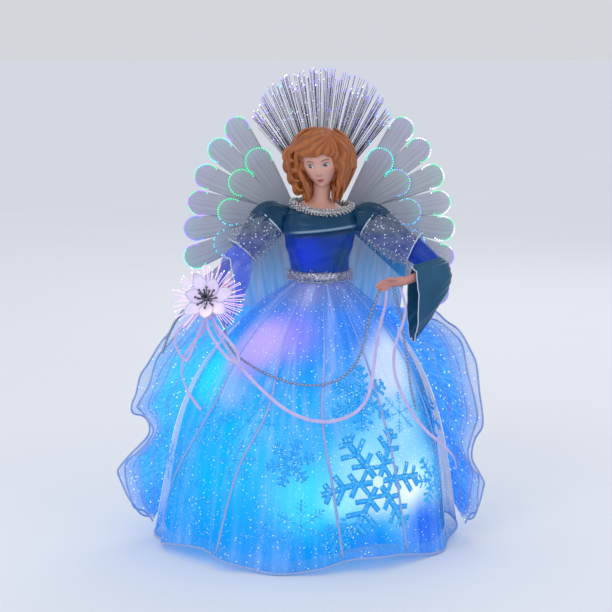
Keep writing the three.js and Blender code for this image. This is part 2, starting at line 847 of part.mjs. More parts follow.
// A ruffle is a wavy sheet from the gown's side to its own outer edge
function makeRuffle(name, shares, side) {
  const gownSide = side > 0 ? 0 : Math.PI;
  const edge = new THREE.CatmullRomCurve3(
    shares.map(([x, z]) => vector(side * x * gownHemHalfWidth, 0, z * gownTop)),
    false,
    "centripetal",
  );
  const face = (push) =>
    Array.from({ length: ruffleRows }, (_, row) => {
      const s = row / (ruffleRows - 1);
      const t = ruffleTopShare + (ruffleBottomShare - ruffleTopShare) * s;
      const root = gownPoint(gownSide, t, foldDepth, 0);
      root.x += side * seatGap;
      const tip = edge.getPoint(s);
      return Array.from({ length: ruffleColumns }, (_, k) => {
        const v = k / (ruffleColumns - 1);
        const at = root.clone().lerp(tip, v);
        const wave = ruffleWave * v * Math.sin(tau * ruffleWaveCount * s + v);
        return vector(at.x, -ruffleSetback + wave + push, at.z);
      });
    });
  put(name, sheet(face(-ruffleWall / 2), face(ruffleWall / 2)), materials.organza);
}

// Half sizes of the torso at a share of its height
function torsoAt(share) {
  const next = Math.max(1, torsoShares.findIndex(([at]) => at >= share));
  const [low, high] = [torsoShares[next - 1], torsoShares[next]];
  const mix = (share - low[0]) / (high[0] - low[0]);
  return [1, 2].map((k) => low[k] + (high[k] - low[k]) * mix);
}
const torsoRing = (share, grow) => {
  const [wide, deep] = torsoAt(share);
  const centre = vector(0, 0, torsoBottom + torsoHeight * share);
  return ellipse(centre, torsoHalfWidth * wide + grow, torsoHalfDepth * deep + grow, bodySides);
};
const torsoBody = (grow) => weave(torsoShares.map(([share]) => torsoRing(share, grow)), false);

const shoulderBores = (radius) =>
  [-1, 1].map((side) => {
    const inner = torsoHalfWidth - shoulderPinDepth - runningGap;
    const outer = torsoHalfWidth + 2 * bodiceWall + cutOverrun;
    const bore = rod(radius, inner, outer, boreSides).rotateY(Math.PI / 2);
    return bore.scale(side, 1, 1).translate(0, 0, shoulderHeight);
  });

function makeTorso() {
  const bores = shoulderBores(shoulderPinRadius + runningGap).map(turnedOut);
  const form = cut(torsoBody(0), trunkSolid(trunkClearance), ...bores);
  put("torso_form", form, materials.whitePlastic);
  const levels = [bodiceBottomShare, ...torsoShares.map(([share]) => share).slice(1, -1), bodiceTopShare];
  const outside = weave(levels.map((share) => torsoRing(share, seatGap + bodiceWall)), false);
  put("bodice", cut(outside, torsoBody(seatGap), trunkSolid(trunkClearance), ...bores), materials.satin);
}

// A mirrored geometry with its faces turned out again
function turnedOut(geometry) {
  const bare = new THREE.BufferGeometry();
  bare.setAttribute("position", geometry.getAttribute("position"));
  const flat = geometry.index ? bare.setIndex(geometry.index) : bare;
  const merged = mergeVertices(flat, weldDistance);
  const points = [];
  const place = merged.getAttribute("position");
  for (let k = 0; k < place.count; k++) points.push(new THREE.Vector3().fromBufferAttribute(place, k));
  const triangles = [];
  for (let k = 0; k < merged.index.count; k += 3)
    triangles.push([0, 1, 2].map((corner) => merged.index.getX(k + corner)));
  return facingOut(points, triangles);
}

function makeTrims() {
  const collarPath = (angle) =>
    vector(
      collarHalfWidth * Math.cos(angle),
      collarHalfDepth * Math.sin(angle),
      torsoBottom + collarHeight + collarDip * Math.min(Math.sin(angle), 0),
    );
  const loop = (path, section) =>
    weave(
      Array.from({ length: loopStations }, (_, k) => {
        const angle = (tau * k) / loopStations;
        const out = vector(Math.cos(angle), Math.sin(angle), 0);
        return section.map(([outwards, up]) =>
          path(angle).addScaledVector(out, outwards).add(vector(0, 0, up)));
      }),
      true,
    );
  const roundSection = Array.from({ length: collarSides }, (_, k) => {
    const angle = (tau * k) / collarSides;
    return [collarRadius * Math.cos(angle), collarRadius * Math.sin(angle)];
  });
  const braid = loop(collarPath, roundSection);
  const covered = torsoBody(2 * seatGap + bodiceWall);
  put("collar_braid", cut(braid, covered), materials.silver);

  const trimBottom = torsoBottom + seatGap;
  const trimTopShare = (trimHeight + seatGap) / torsoHeight;
  const [wide, deep] = torsoAt(trimTopShare);
  const inner = 2 * seatGap + bodiceWall + seatGap;
  const trimSection = trimShares.map(([out, up]) => [trimThickness * out, trimHeight * up]);
  const trimPath = (angle) =>
    vector(
      (torsoHalfWidth * wide + inner) * Math.cos(angle),
      (torsoHalfDepth * deep + inner) * Math.sin(angle),
      trimBottom,
    );
  put("waist_trim", loop(trimPath, trimSection), materials.silver);
}

const headCentre = vector(headOffsetX, -headForward, headHeight);
const skull = (grow, around = skullSides, up = ballRows) =>
  ball(headHalfWidth + grow, headHalfDepth + grow, headHalfHeight + grow, around, up)
    .translate(headCentre.x, headCentre.y, headCentre.z);
const neck = (grow) =>
  rod(neckRadius + grow, torsoTop + seatGap, torsoTop + neckHeight, boreSides)
    .translate(headOffsetX * neckAcrossShare, -headForward * neckForwardShare, 0);

function makeHead() {
  const [noseWide, noseDeep, noseTall] = noseShares.map((share) => noseRadius * share);
  const nose = ball(noseWide, noseDeep, noseTall, pinSides, lobeRows)
    .translate(headCentre.x, headCentre.y - headHalfDepth, headCentre.z - headHalfHeight * noseDropShare);
  put("head", join(skull(0), neck(0), nose), materials.skin);
  const middle = vector(headCentre.x, headCentre.y + hairSetback, headCentre.z + hairLift);
  const cap = ball(hairHalfWidth, hairHalfDepth, hairHalfHeight, boreSides, capRows)
    .translate(middle.x, middle.y, middle.z);
  const lobes = hairLobeShares.map(([x, forward, up, wide, deep, tall]) =>
    ball(hairHalfWidth * wide, hairHalfDepth * deep, hairHalfHeight * tall, pinSides, lobeRows).translate(
      middle.x + hairHalfWidth * x,
      middle.y - hairHalfDepth * forward,
      middle.z + hairHalfHeight * up,
    ));
  const [wide, deep, tall] = faceWindowShares;
  const face = ball(hairHalfWidth * wide, hairHalfDepth * deep, hairHalfHeight * tall, boreSides, capRows)
    .translate(middle.x, middle.y - hairHalfDepth, middle.z - hairHalfHeight * faceWindowDropShare);
  const hollow = [skull(hairGap, boreSides, capRows + 1), face, neck(hairGap)];
  put("hair", cut(join(cap, ...lobes), ...hollow), materials.hair);
}

// Fibres run straight from a comb behind the neck to a ragged arc of tips
function makeHalo() {
  const columns = haloBundleCount * haloColumnCount;
  const combDepth = haloRowPitch * haloRowCount + 2 * haloStrandRadius;
  const place = (angle, reach, y) =>
    vector(haloCentreX + reach * Math.sin(angle), y, haloCentreHeight + reach * Math.cos(angle));
  const combAngle = haloHalfAngle * haloCombShare;
  const inner = haloCombRadius - haloCombHalfThickness;
  const outer = haloCombRadius + haloCombHalfThickness;
  const comb = weave(
    Array.from({ length: combStations }, (_, k) => {
      const angle = -combAngle + (2 * combAngle * k) / (combStations - 1);
      return [[inner, -1], [outer, -1], [outer, 1], [inner, 1]].map(([reach, side]) =>
        place(angle, reach, haloSetback + (side * combDepth) / 2));
    }),
    false,
  );
  const pairs = [];
  for (let column = 0; column < columns; column++) {
    const bundle = Math.floor(column / haloColumnCount);
    const inBundle = ((column % haloColumnCount) + 0.5) / haloColumnCount - 0.5;
    const rootAngle = haloHalfAngle * ((2 * (column + 0.5)) / columns - 1);
    const tipShare = (bundle + 0.5 + inBundle * (1 - haloBundleGapShare)) / haloBundleCount;
    const tipAngle = haloHalfAngle * (2 * tipShare - 1);
    for (let row = 0; row < haloRowCount; row++) {
      const y = haloSetback + (row - (haloRowCount - 1) / 2) * haloRowPitch;
      const ragged = haloRaggedness * (0.5 + 0.5 * Math.sin(7 * column + 5 * row));
      const drop = haloSideDrop * Math.abs(tipAngle / haloHalfAngle) ** haloDropPower;
      const reach = haloReach - drop - ragged;
      pairs.push([place(rootAngle, haloCombRadius, y), place(tipAngle, reach, y)]);
    }
  }
  put("halo_fibres", join(comb, strands(pairs, haloStrandRadius, haloStrandRadius)), materials.fibre);
}

// The wings hang on two upright posts of a bracket at the torso's back
const bracketFront = torsoHalfDepth + seatGap + bodiceWall + seatGap;
const hingeY = bracketFront + bracketThickness + hingeSetback;
const bracketTop = bracketBottom + bracketHeight;

function makeBracket() {
  const plate = block(2 * bracketHalfWidth, bracketThickness, bracketHeight)
    .translate(0, bracketFront + bracketThickness / 2, (bracketBottom + bracketTop) / 2);
  const lugDepth = hingeSetback + bracketThickness / 2 + 2 * hingePostRadius;
  const lugs = [-1, 1].flatMap((side) =>
    [bracketBottom + lugThickness / 2, bracketTop - lugThickness / 2].map((height) =>
      block(2 * lugHalfWidth, lugDepth, lugThickness)
        .translate(side * hingeOffset, bracketFront + bracketThickness / 2 + lugDepth / 2, height)));
  const posts = [-1, 1].map((side) =>
    rod(hingePostRadius, bracketBottom + lugThickness / 2, bracketTop - lugThickness / 2, boreSides)
      .translate(side * hingeOffset, hingeY, 0));
  put("wing_bracket", join(plate, ...lugs, ...posts), materials.greyPlastic);
}

function petalGeometry(degrees, rootReach, reach, tipRadius) {
  const angle = (degrees * Math.PI) / 180;
  const lean = Math.asin((tipRadius - petalRootHalfWidth) / (reach - rootReach));
  const tip = Array.from({ length: petalTipPoints }, (_, k) => {
    const turn = -lean + ((Math.PI + 2 * lean) * k) / (petalTipPoints - 1);
    return [tipRadius * Math.cos(turn), reach + tipRadius * Math.sin(turn)];
  });
  const outline = [[-petalRootHalfWidth, rootReach], [petalRootHalfWidth, rootReach], ...tip];
  const shape = new THREE.Shape(outline.map(([x, y]) => new THREE.Vector2(x, y)));
  return new THREE.ExtrudeGeometry(shape, { depth: petalThickness, bevelEnabled: false })
    .rotateZ(-angle)
    .rotateX(Math.PI / 2)
    .translate(0, petalThickness / 2, 0);
}

function makeWing(name, side) {
  const tubeBottom = bracketBottom + lugThickness + runningGap;
  const tubeTop = bracketTop - lugThickness - runningGap;
  const tubeHeight = tubeTop - tubeBottom;
  const bore = hingePostRadius + runningGap;
  const outside = bore + hingeTubeWall;
  const tube = rod(outside, tubeBottom, tubeTop).translate(hingeOffset, hingeY, 0);
  const plateStart = hingeOffset + bore + hingeTubeWall / 2;
  const outline = wingPlateShares.map(([x, z]) =>
    new THREE.Vector2(plateStart + x * wingPlateWidth, tubeBottom + z * tubeHeight));
  const extrusion = { depth: wingPlateThickness, bevelEnabled: false };
  const plate = new THREE.ExtrudeGeometry(new THREE.Shape(outline), extrusion)
    .rotateX(Math.PI / 2)
    .translate(0, hingeY + wingPlateThickness / 2, 0);
  const boreTool = rod(bore, tubeBottom - cutOverrun, tubeTop + cutOverrun)
    .translate(hingeOffset, hingeY, 0);
  const root = cut(join(tube, turnedOut(plate)), boreTool);
  const row = (degrees, shares, reach, radius, y) =>
    join(...degrees.map((angle, k) =>
      turnedOut(petalGeometry(angle, petalRootReach, reach * shares[k], radius)
        .translate(wingRootX, y, wingRootHeight))));
  const rowStep = wingPlateThickness / 2 + seatGap + petalThickness / 2;
  const [outerY, innerY] = [hingeY + rowStep, hingeY - rowStep];
  const outer = row(outerPetalDegrees, outerPetalShares, outerPetalReach, outerPetalRadius, outerY);
  const inner = row(innerPetalDegrees, innerPetalShares, innerPetalReach, innerPetalRadius, innerY);
  const onSide = (geometry) => turnedOut(geometry.scale(side, 1, 1));
  put(`${name}_wing_root`, onSide(root), materials.greyPlastic);
  put(`${name}_outer_petals`, onSide(outer), materials.whiteOrganza);
  put(`${name}_inner_petals`, onSide(inner), materials.whiteOrganza);
}

// The flower's own axis is local Z; it faces forwards and a little up
const flowerAt = (geometry) =>
  geometry.rotateX(Math.PI / 2 - flowerTilt)
    .rotateZ(flowerTurn)
    .translate(fistX - flowerAside, fistY - flowerForward, fistHeight + flowerRise);
const polar = (angle, lean, reach, lift) =>
  vector(
    reach * Math.cos(angle) * Math.cos(lean),
    reach * Math.sin(angle) * Math.cos(lean),
    lift + reach * Math.sin(lean),
  );

const flowerStem = (grow) =>
  flowerAt(
    rod(stemRadius + grow, -flowerDiscThickness - stemLength - grow, -flowerDiscThickness / 2, pinSides),
  );

// Stations of the two arms as shares of the arm's reach: across from the armhole's plane, y and z
// from the shoulder, half-height and half-width
const shoulderX = torsoHalfWidth + seatGap + bodiceWall + armholeGap;
const fromShoulder = (side, stations) =>
  stations.map((shares) => {
    const [x, y, z, tall, wide] = shares.map((share) => share * armReach);
    return [side * (shoulderX + x), y, shoulderHeight + z, tall, wide];
  });

const armShares = {
  left: {
    side: 1,
    arm: [
      [0, 0, 0], [0.14, -0.01, -0.06], [0.36, -0.07, -0.19], [0.54, -0.14, -0.3], [0.62, -0.24, -0.39],
      [0.53, -0.32, -0.43], [0.378, -0.418, -0.475],
    ],
    sleeve: [
      [0, 0, 0, 0.048, 0.048], [0.04, 0, -0.01, 0.115, 0.115], [0.12, -0.01, -0.04, 0.13, 0.125],
      [0.3, -0.05, -0.15, 0.12, 0.115], [0.46, -0.11, -0.25, 0.105, 0.1],
      [0.58, -0.2, -0.36, 0.09, 0.09],
    ],
    over: [
      [0.08, 0, -0.02, 0.146, 0.142], [0.2, -0.03, -0.1, 0.165, 0.155],
      [0.34, -0.06, -0.19, 0.17, 0.155], [0.47, -0.1, -0.25, 0.155, 0.145],
    ],
    cuff: [
      [0.72, -0.24, -0.5, 0.08, 0.05], [0.68, -0.26, -0.52, 0.17, 0.09],
      [0.58, -0.32, -0.57, 0.24, 0.1], [0.43, -0.39, -0.69, 0.325, 0.098],
    ],
    hand: [
      [0.374, -0.42, -0.476, 0.03, 0.026], [0.31, -0.435, -0.478, 0.046, 0.03],
      [0.24, -0.46, -0.49, 0.042, 0.028], [0.17, -0.485, -0.51, 0.032, 0.024],
      [0.115, -0.5, -0.53, 0.016, 0.014],
    ],
    thumb: [
      [0.3, -0.46, -0.46, 0.016, 0.016], [0.25, -0.495, -0.44, 0.015, 0.015],
      [0.21, -0.51, -0.445, 0.01, 0.01],
    ],
  },
  right: {
    side: -1,
    arm: [
      [0, 0, 0], [0.12, -0.01, -0.04], [0.24, -0.06, -0.17], [0.34, -0.18, -0.34], [0.43, -0.29, -0.49],
      [0.485, -0.365, -0.59],
    ],
    sleeve: [
      [0, 0, 0, 0.048, 0.048], [0.04, 0, -0.01, 0.115, 0.115], [0.1, -0.01, -0.03, 0.13, 0.125],
      [0.21, -0.04, -0.12, 0.12, 0.115], [0.29, -0.1, -0.24, 0.1, 0.1],
      [0.34, -0.16, -0.36, 0.08, 0.08],
    ],
    over: [
      [0.08, 0, -0.02, 0.146, 0.142], [0.17, -0.02, -0.1, 0.165, 0.155],
      [0.25, -0.05, -0.19, 0.17, 0.15], [0.32, -0.08, -0.27, 0.15, 0.14],
    ],
    cuff: [
      [0.29, -0.11, -0.35, 0.09, 0.07], [0.32, -0.15, -0.4, 0.19, 0.1],
      [0.38, -0.23, -0.48, 0.26, 0.105], [0.45, -0.31, -0.58, 0.31, 0.1],
    ],
    hand: [
      [0.488, -0.369, -0.596, 0.03, 0.026], [0.515, -0.405, -0.625, 0.042, 0.034],
      [0.54, -0.445, -0.645, 0.05, 0.046], [0.558, -0.49, -0.65, 0.046, 0.044],
      [0.566, -0.515, -0.648, 0.03, 0.03],
    ],
    thumb: [
      [0.51, -0.41, -0.605, 0.017, 0.017], [0.505, -0.45, -0.595, 0.016, 0.016],
      [0.515, -0.485, -0.6, 0.011, 0.011],
    ],
  },
};

// The flower and the knot keep their places from the middle of the fist
const [, , [fistX, fistY, fistHeight]] = fromShoulder(armShares.right.side, armShares.right.hand);

function makeArm(name) {
  const route = armShares[name];
  const stations = (list) => fromShoulder(route.side, list);
  const armStations = (grow) =>
    stations(route.arm).map((at) => [...at.slice(0, 3), armRadius + grow, armRadius + grow]);
  const atShoulder = { isAtShoulder: true };
  const upright = { isUpright: true };
  const arm = (grow) => limb(armStations(grow), 0, atShoulder);
  const pin = rod(shoulderPinRadius, torsoHalfWidth - shoulderPinDepth, shoulderX + armRadius, boreSides)
    .rotateY(Math.PI / 2)
    .scale(route.side, 1, 1)
    .translate(0, 0, shoulderHeight);
  // The cuff's outside, made larger all round and at its upper end
  const cuffBody = (grow) => {
    const rings = limbRings(stations(route.cuff), grow, upright);
    const [[startX, startY], [nextX, nextY]] = stations(route.cuff);
    const back = vector(startX - nextX, startY - nextY, 0).normalize();
    rings[0].forEach((point) => point.addScaledVector(back, grow));
    return weave(rings, false);
  };
  put(`${name}_arm`, join(arm(0), turnedOut(pin)), materials.whitePlastic);
  const cuffMouth = stations(route.cuff).slice(1);
  const cuffOutside = limbRings(stations(route.cuff), 0, upright);
  const cuffInside = limbRings(cuffMouth, -sleeveWall, upright).reverse();
  const cuff = weave([...cuffOutside, ...cuffInside], false, cuffOutside.length);
  put(`${name}_cuff`, cut(cuff, arm(2 * seatGap)), materials.satin);
  const sleeve = hollowLimb(stations(route.sleeve), sleeveWall, atShoulder);
  put(`${name}_sleeve`, cut(sleeve, cuffBody(seatGap)), materials.satin);
  const over = hollowLimb(stations(route.over), sleeveWall);
  const sleeveBody = limb(stations(route.sleeve), seatGap, atShoulder);
  put(`${name}_oversleeve`, cut(over, cuffBody(seatGap), sleeveBody), materials.tulle);
  const hand = join(limb(stations(route.hand)), limb(stations(route.thumb)));
  put(`${name}_hand`, cut(hand, arm(seatGap), flowerStem(seatGap)), materials.skin);
}

function makeFlower() {
  const discTop = 0;
  const discBottom = -flowerDiscThickness;
  const rays = Array.from({ length: rayCount }, (_, k) => {
    const angle = -Math.PI / 2 + rayFreeAngle + ((tau - 2 * rayFreeAngle) * (k + 0.5)) / rayCount;
    const lean = -rayDroop * (k % 2);
    const reach = rayLength * (1 - rayShortShare * (1 - Math.sin(rayPhase * k)));
    const level = discBottom + flowerDiscThickness * rayLevelShares[k % 2];
    return [polar(angle, 0, flowerDiscRadius * rayRootShare, level), polar(angle, lean, reach, level)];
  });
  const disc = rod(flowerDiscRadius, discBottom, discTop);
  const spray = flowerAt(join(disc, strands(rays, rayRadius, rayRadius)));
  put("flower_fibres", join(spray, flowerStem(0)), materials.fibre);

  const petalBottom = discTop + seatGap;
  const petalDisc = rod(flowerDiscRadius, petalBottom, petalBottom + flowerDiscThickness);
  const petals = Array.from({ length: flowerPetalCount }, (_, k) => {
    const angle = (tau * (k + 0.3)) / flowerPetalCount;
    const rise = flowerPetalRise + flowerPetalRiseStep * (k % 2);
    const stretch = flowerPetalLength * (1 - flowerPetalShortShare * (1 - Math.cos(3 * k)));
    const half = flowerPetalShares.slice(1).reverse().map(([x, y]) => [x, -y]);
    const outline = [...flowerPetalShares, [1, 0], ...half, [petalRootShare, -petalRootWidthShare]];
    const shape = new THREE.Shape(
      outline.map(([x, y]) => new THREE.Vector2(x * stretch, y * flowerPetalHalfWidth)),
    );
    return new THREE.ExtrudeGeometry(shape, { depth: flowerPetalThickness, bevelEnabled: false })
      .rotateY(-rise)
      .rotateZ(angle)
      .translate(0, 0, petalBottom + flowerDiscThickness / 4 - stretch * petalRootShare * Math.sin(rise));
  });
  put("flower_petals", flowerAt(join(petalDisc, ...petals.map(turnedOut))), materials.whiteOrganza);

  const stamenBottom = petalBottom + flowerDiscThickness + seatGap;
  const stamenDiscRadius = flowerDiscRadius * stamenDiscShare;
  const stamens = Array.from({ length: stamenCount }, (_, k) => {
    const angle = (tau * k) / stamenCount;
    const lean = stamenLean + stamenLeanStep * (k % 2);
    const middle = stamenBottom + flowerDiscThickness / 2;
    const pair = [polar(angle, 0, 2 * stamenRadius, middle), polar(angle, lean, stamenLength, middle)];
    return strands([pair], stamenRadius * stamenRootShare, stamenRadius * stamenTipShare);
  });
  const stamenDisc = rod(stamenDiscRadius, stamenBottom, stamenBottom + flowerDiscThickness, boreSides);
  put("flower_stamens", flowerAt(join(stamenDisc, ...stamens)), materials.stamen);
  const knot = ball(knotRadius * knotStretchShare, knotRadius, knotRadius, boreSides, capRows)
    .translate(fistX - knotAside, fistY - knotForward, fistHeight - knotDrop);
  put("ribbon_knot", knot, materials.ribbon);
}

// Routes of the free cords, from the end that is tied to the end that hangs or meets its fellow
const cordRoutes = {
  bead_swag_right: {
    diameter: beadDiameter,
    points: [
      [-84.4, -56, 205.4], [-79.9, -56.6, 199], [-77, -58, 186], [-71, -61, 175],
      [-60, -65, 167], [-48, -73, 161.5], [-36, -80, 157.5], [-25, -84.5, 154.8],
      [-15, -86, 153.3], [-8.15, -86.5, 152.8],
    ],
  },
  bead_swag_left: {
    diameter: beadDiameter,
    points: [
      [-7.85, -86.5, 152.8], [0, -86.6, 153.2], [10, -86, 155.5], [20, -82, 160],
      [28, -75, 167], [34, -67, 177], [38, -59, 191], [42, -54, 206], [46, -51, 216],
      [48.8, -49.5, 223.9],
    ],
  },
  ribbon_swag_right: {
    diameter: ribbonDiameter,
    points: [
      [-88.8, -55.6, 201.9], [-85.5, -56, 192], [-79, -59, 182], [-71, -64, 170],
      [-58, -73, 157], [-43, -86, 145], [-30, -94, 136], [-18, -97, 130], [-8.15, -98, 126.7],
    ],
  },
  ribbon_swag_left: {
    diameter: ribbonDiameter,
    points: [
      [-7.85, -98, 126.7], [4, -98, 125.4], [14, -97, 126.6], [24, -94, 129.5], [32, -89, 134],
      [38, -84, 141], [42, -77, 152], [44, -70, 165], [47, -61, 183], [51, -54, 201],
      [54.5, -49.5, 214], [55.5, -47.6, 224.7],
    ],
  },
  bead_tail_left: {
    diameter: beadDiameter,
    points: [
      [61.3, -46.8, 226.2], [63, -48.5, 218], [66, -51, 208], [69, -52.5, 190], [72, -53, 171],
      [74, -54, 156], [76.5, -56, 140], [80, -59, 127],
    ],
  },
  ribbon_tail_left: {
    diameter: ribbonDiameter,
    points: [
      [66.5, -45.2, 227], [69, -51, 219], [70.5, -57, 210], [67.5, -59.5, 197], [63, -60, 184],
      [61, -60, 171], [62, -62, 157], [67, -65, 142], [76, -66, 125], [89, -61, 108],
      [105, -44, 91], [116, -24, 74], [119, -14, 62],
    ],
  },
  bead_tail_right: {
    diameter: beadDiameter,
    points: [
      [-96.9, -53.4, 208.3], [-104, -48, 208.4], [-113, -39, 205], [-121, -33, 196],
      [-128, -28, 182], [-133, -26, 168],
    ],
  },
  ribbon_tail_right: {
    diameter: ribbonDiameter,
    points: [
      [-92.5, -53.3, 202.4], [-96.5, -51.4, 191], [-106, -49, 180], [-114, -46, 166],
      [-116, -40, 152], [-113, -36, 140], [-106, -46, 131], [-99, -56, 125],
    ],
  },
  ribbon_loop_front: {
    diameter: ribbonDiameter,
    points: [
      [-88.6, -60.6, 204.3], [-84, -66, 197], [-74, -72, 186], [-67, -76, 176],
      [-67.5, -77, 170], [-74, -76, 172], [-84, -70.5, 183], [-91.5, -66, 195.5],
      [-92.9, -61, 203.8],
    ],
  },
  ribbon_loop_side: {
    diameter: ribbonDiameter,
    points: [
      [-98.2, -56.4, 206.6], [-107.5, -55, 200], [-117, -52, 192], [-120.5, -52, 184],
      [-117, -53, 173], [-111, -54, 167], [-106, -54.5, 176], [-100, -55.6, 191],
      [-95.3, -56, 202.2],
    ],
  },
};

makeCone();
makeHousing();
makeLid();
makeLightSource();
makeColourWheel();
makeFerrule();
put("fibre_trunk", trunkSolid(0), materials.fibre);
makeSkirtLamps();
makeInletAndSwitch();
makeTorso();
makeTrims();
makeHead();
makeHalo();
makeGown();
makeRuffle("ruffle_right", rightRuffleShares, -1);
makeRuffle("ruffle_left", leftRuffleShares, 1);
makeBracket();
makeWing("left", 1);
makeWing("right", -1);
makeArm("left");
makeArm("right");
makeFlower();
for (const [name, { points, diameter }] of Object.entries(cordRoutes)) {
  put(name, cord(points, diameter), diameter === beadDiameter ? materials.silver : materials.ribbon);
}

export default group;
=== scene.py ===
import math
import random

import bmesh
import bpy
import numpy as np
from mathutils import Matrix, Vector, noise


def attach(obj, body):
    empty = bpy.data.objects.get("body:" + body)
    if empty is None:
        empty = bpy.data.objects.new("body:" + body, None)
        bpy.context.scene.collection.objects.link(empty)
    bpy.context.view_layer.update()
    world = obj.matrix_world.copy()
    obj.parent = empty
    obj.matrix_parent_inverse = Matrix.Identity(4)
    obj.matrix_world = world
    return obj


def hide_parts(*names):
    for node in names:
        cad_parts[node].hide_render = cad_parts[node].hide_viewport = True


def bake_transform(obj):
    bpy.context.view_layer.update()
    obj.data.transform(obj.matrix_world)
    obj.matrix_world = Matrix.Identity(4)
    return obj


# Lit angel tree topper. Pieces are worked out in millimetres in the CAD frame and scaled at the end.
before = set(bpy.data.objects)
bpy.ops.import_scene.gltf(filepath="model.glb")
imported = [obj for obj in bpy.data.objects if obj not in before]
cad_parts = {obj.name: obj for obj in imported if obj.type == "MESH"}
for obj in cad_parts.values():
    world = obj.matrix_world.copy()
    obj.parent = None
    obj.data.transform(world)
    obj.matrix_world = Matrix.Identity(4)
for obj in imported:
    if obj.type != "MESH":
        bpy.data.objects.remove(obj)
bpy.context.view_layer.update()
scene = bpy.context.scene
scene.view_settings.view_transform = "Standard"
metresPerMm = 0.001
fullTurn = 2 * math.pi
upward = Vector((0, 0, 1))


# Small helpers: numbers and paths
def mix(a, b, share):
    return a + (b - a) * share


def clamp(value, low=0.0, high=1.0):
    return min(max(value, low), high)


def ease(value, low, high):
    share = clamp((value - low) / (high - low))
    return share * share * (3 - 2 * share)


def hill(value, centre, width):
    return math.exp(-(((value - centre) / width) ** 2))


def smoothPath(points, step):  # the CAD's own kind of curve, cut into equal steps
    points = [Vector(point) for point in points]
    ends = [2 * points[0] - points[1], *points, 2 * points[-1] - points[-2]]
    dense = []
    for p0, p1, p2, p3 in zip(ends, ends[1:], ends[2:], ends[3:]):
        t1 = (p1 - p0).length ** 0.5
        t2 = t1 + (p2 - p1).length ** 0.5
        t3 = t2 + (p3 - p2).length ** 0.5
        for k in range(12):
            t = mix(t1, t2, k / 12)
            a1 = p0 * (t1 - t) / t1 + p1 * t / t1
            a2 = p1 * (t2 - t) / (t2 - t1) + p2 * (t - t1) / (t2 - t1)
            a3 = p2 * (t3 - t) / (t3 - t2) + p3 * (t - t2) / (t3 - t2)
            b1 = a1 * (t2 - t) / t2 + a2 * t / t2
            b2 = a2 * (t3 - t) / (t3 - t1) + a3 * (t - t1) / (t3 - t1)
            dense.append(b1 * (t2 - t) / (t2 - t1) + b2 * (t - t1) / (t2 - t1))
    dense.append(points[-1])
    return evenPath(dense, step)


def evenPath(dense, step):
    marks = [0.0]
    for a, b in zip(dense, dense[1:]):
        marks.append(marks[-1] + (b - a).length)
    count = max(2, round(marks[-1] / step) + 1)
    path, at = [], 0
    for k in range(count):
        goal = marks[-1] * k / (count - 1)
        while at < len(marks) - 2 and marks[at + 1] < goal:
            at += 1
        share = (goal - marks[at]) / max(marks[at + 1] - marks[at], 1e-9)
        path.append(dense[at].lerp(dense[at + 1], clamp(share)))
    return path


def pathLength(path):
    return sum((b - a).length for a, b in zip(path, path[1:]))


def curveAt(points, share):  # a smooth value at a share of a list of number rows
    rows = [list(map(float, row)) for row in points]
    place = clamp(share) * (len(rows) - 1)
    k = min(int(place), len(rows) - 2)
    t = place - k
    p1, p2 = rows[k], rows[k + 1]
    p0 = rows[k - 1] if k else [2 * a - b for a, b in zip(p1, p2)]
    p3 = rows[k + 2] if k + 2 < len(rows) else [2 * b - a for a, b in zip(p1, p2)]
    return [
        0.5 * (2 * b + (c - a) * t + (2 * a - 5 * b + 4 * c - d) * t**2 + (3 * b - a - 3 * c + d) * t**3)
        for a, b, c, d in zip(p0, p1, p2, p3)
    ]


def fromAxis(point):  # straight away from the doll's upright axis
    flat = Vector((point.x, point.y, 0))
    return flat.normalized() if flat.length > 1e-6 else Vector((0, -1, 0))


# Small helpers: meshes
def addGrid(bm, columns, rows, place, isRound=False):
    bm.loops.layers.uv.verify()
    made = bmesh.ops.create_grid(bm, x_segments=columns, y_segments=rows, size=0.5, calc_uvs=True)["verts"]
    for vert in made:
        vert.co = place(clamp(vert.co.x + 0.5), clamp(vert.co.y + 0.5))
    if isRound:
        bmesh.ops.remove_doubles(bm, verts=made, dist=1e-4)


def addSweep(bm, path, width, thickness=None, sides=8, facing=fromAxis):
    # a closed tube or flat band along a path, width lying across the facing direction
    last = len(path) - 1
    widthAt = width if callable(width) else lambda share: width
    thickAt = widthAt if thickness is None else thickness if callable(thickness) else lambda share: thickness
    frames = []
    for k, point in enumerate(path):
        forward = (path[min(k + 1, last)] - path[max(k - 1, 0)]).normalized()
        outward = facing(point)
        outward = outward - forward * outward.dot(forward)
        if outward.length < 1e-3:
            outward = forward.orthogonal()
        outward.normalize()
        frames.append((forward.cross(outward), outward))

    def place(u, v):
        row = round(v * (last + 2)) - 1
        k = min(max(row, 0), last)
        if row < 0 or row > last:
            return path[k].copy()
        across, outward = frames[k]
        turn = fullTurn * u
        share = k / last
        aside = across * math.cos(turn) * widthAt(share) / 2
        return path[k] + aside + outward * math.sin(turn) * thickAt(share) / 2

    addGrid(bm, sides, last + 2, place, isRound=True)


def finishPiece(name, bm, material, body=None, nodes=(), isSmooth=True, isClosed=False):
    if isClosed:
        bmesh.ops.recalc_face_normals(bm, faces=bm.faces)
    bmesh.ops.scale(bm, vec=(metresPerMm,) * 3, verts=bm.verts)
    mesh = bpy.data.meshes.new(name)
    bm.to_mesh(mesh)
    bm.free()
    return finishMesh(name, mesh, material, body, nodes, isSmooth)


def finishMesh(name, mesh, material, body=None, nodes=(), isSmooth=True):
    mesh.polygons.foreach_set("use_smooth", [isSmooth] * len(mesh.polygons))
    piece = bpy.data.objects.new(name, mesh)
    scene.collection.objects.link(piece)
    mesh.materials.clear()
    mesh.materials.append(material)
    if body:
        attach(piece, body)
    if nodes:
        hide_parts(*nodes)
    return piece


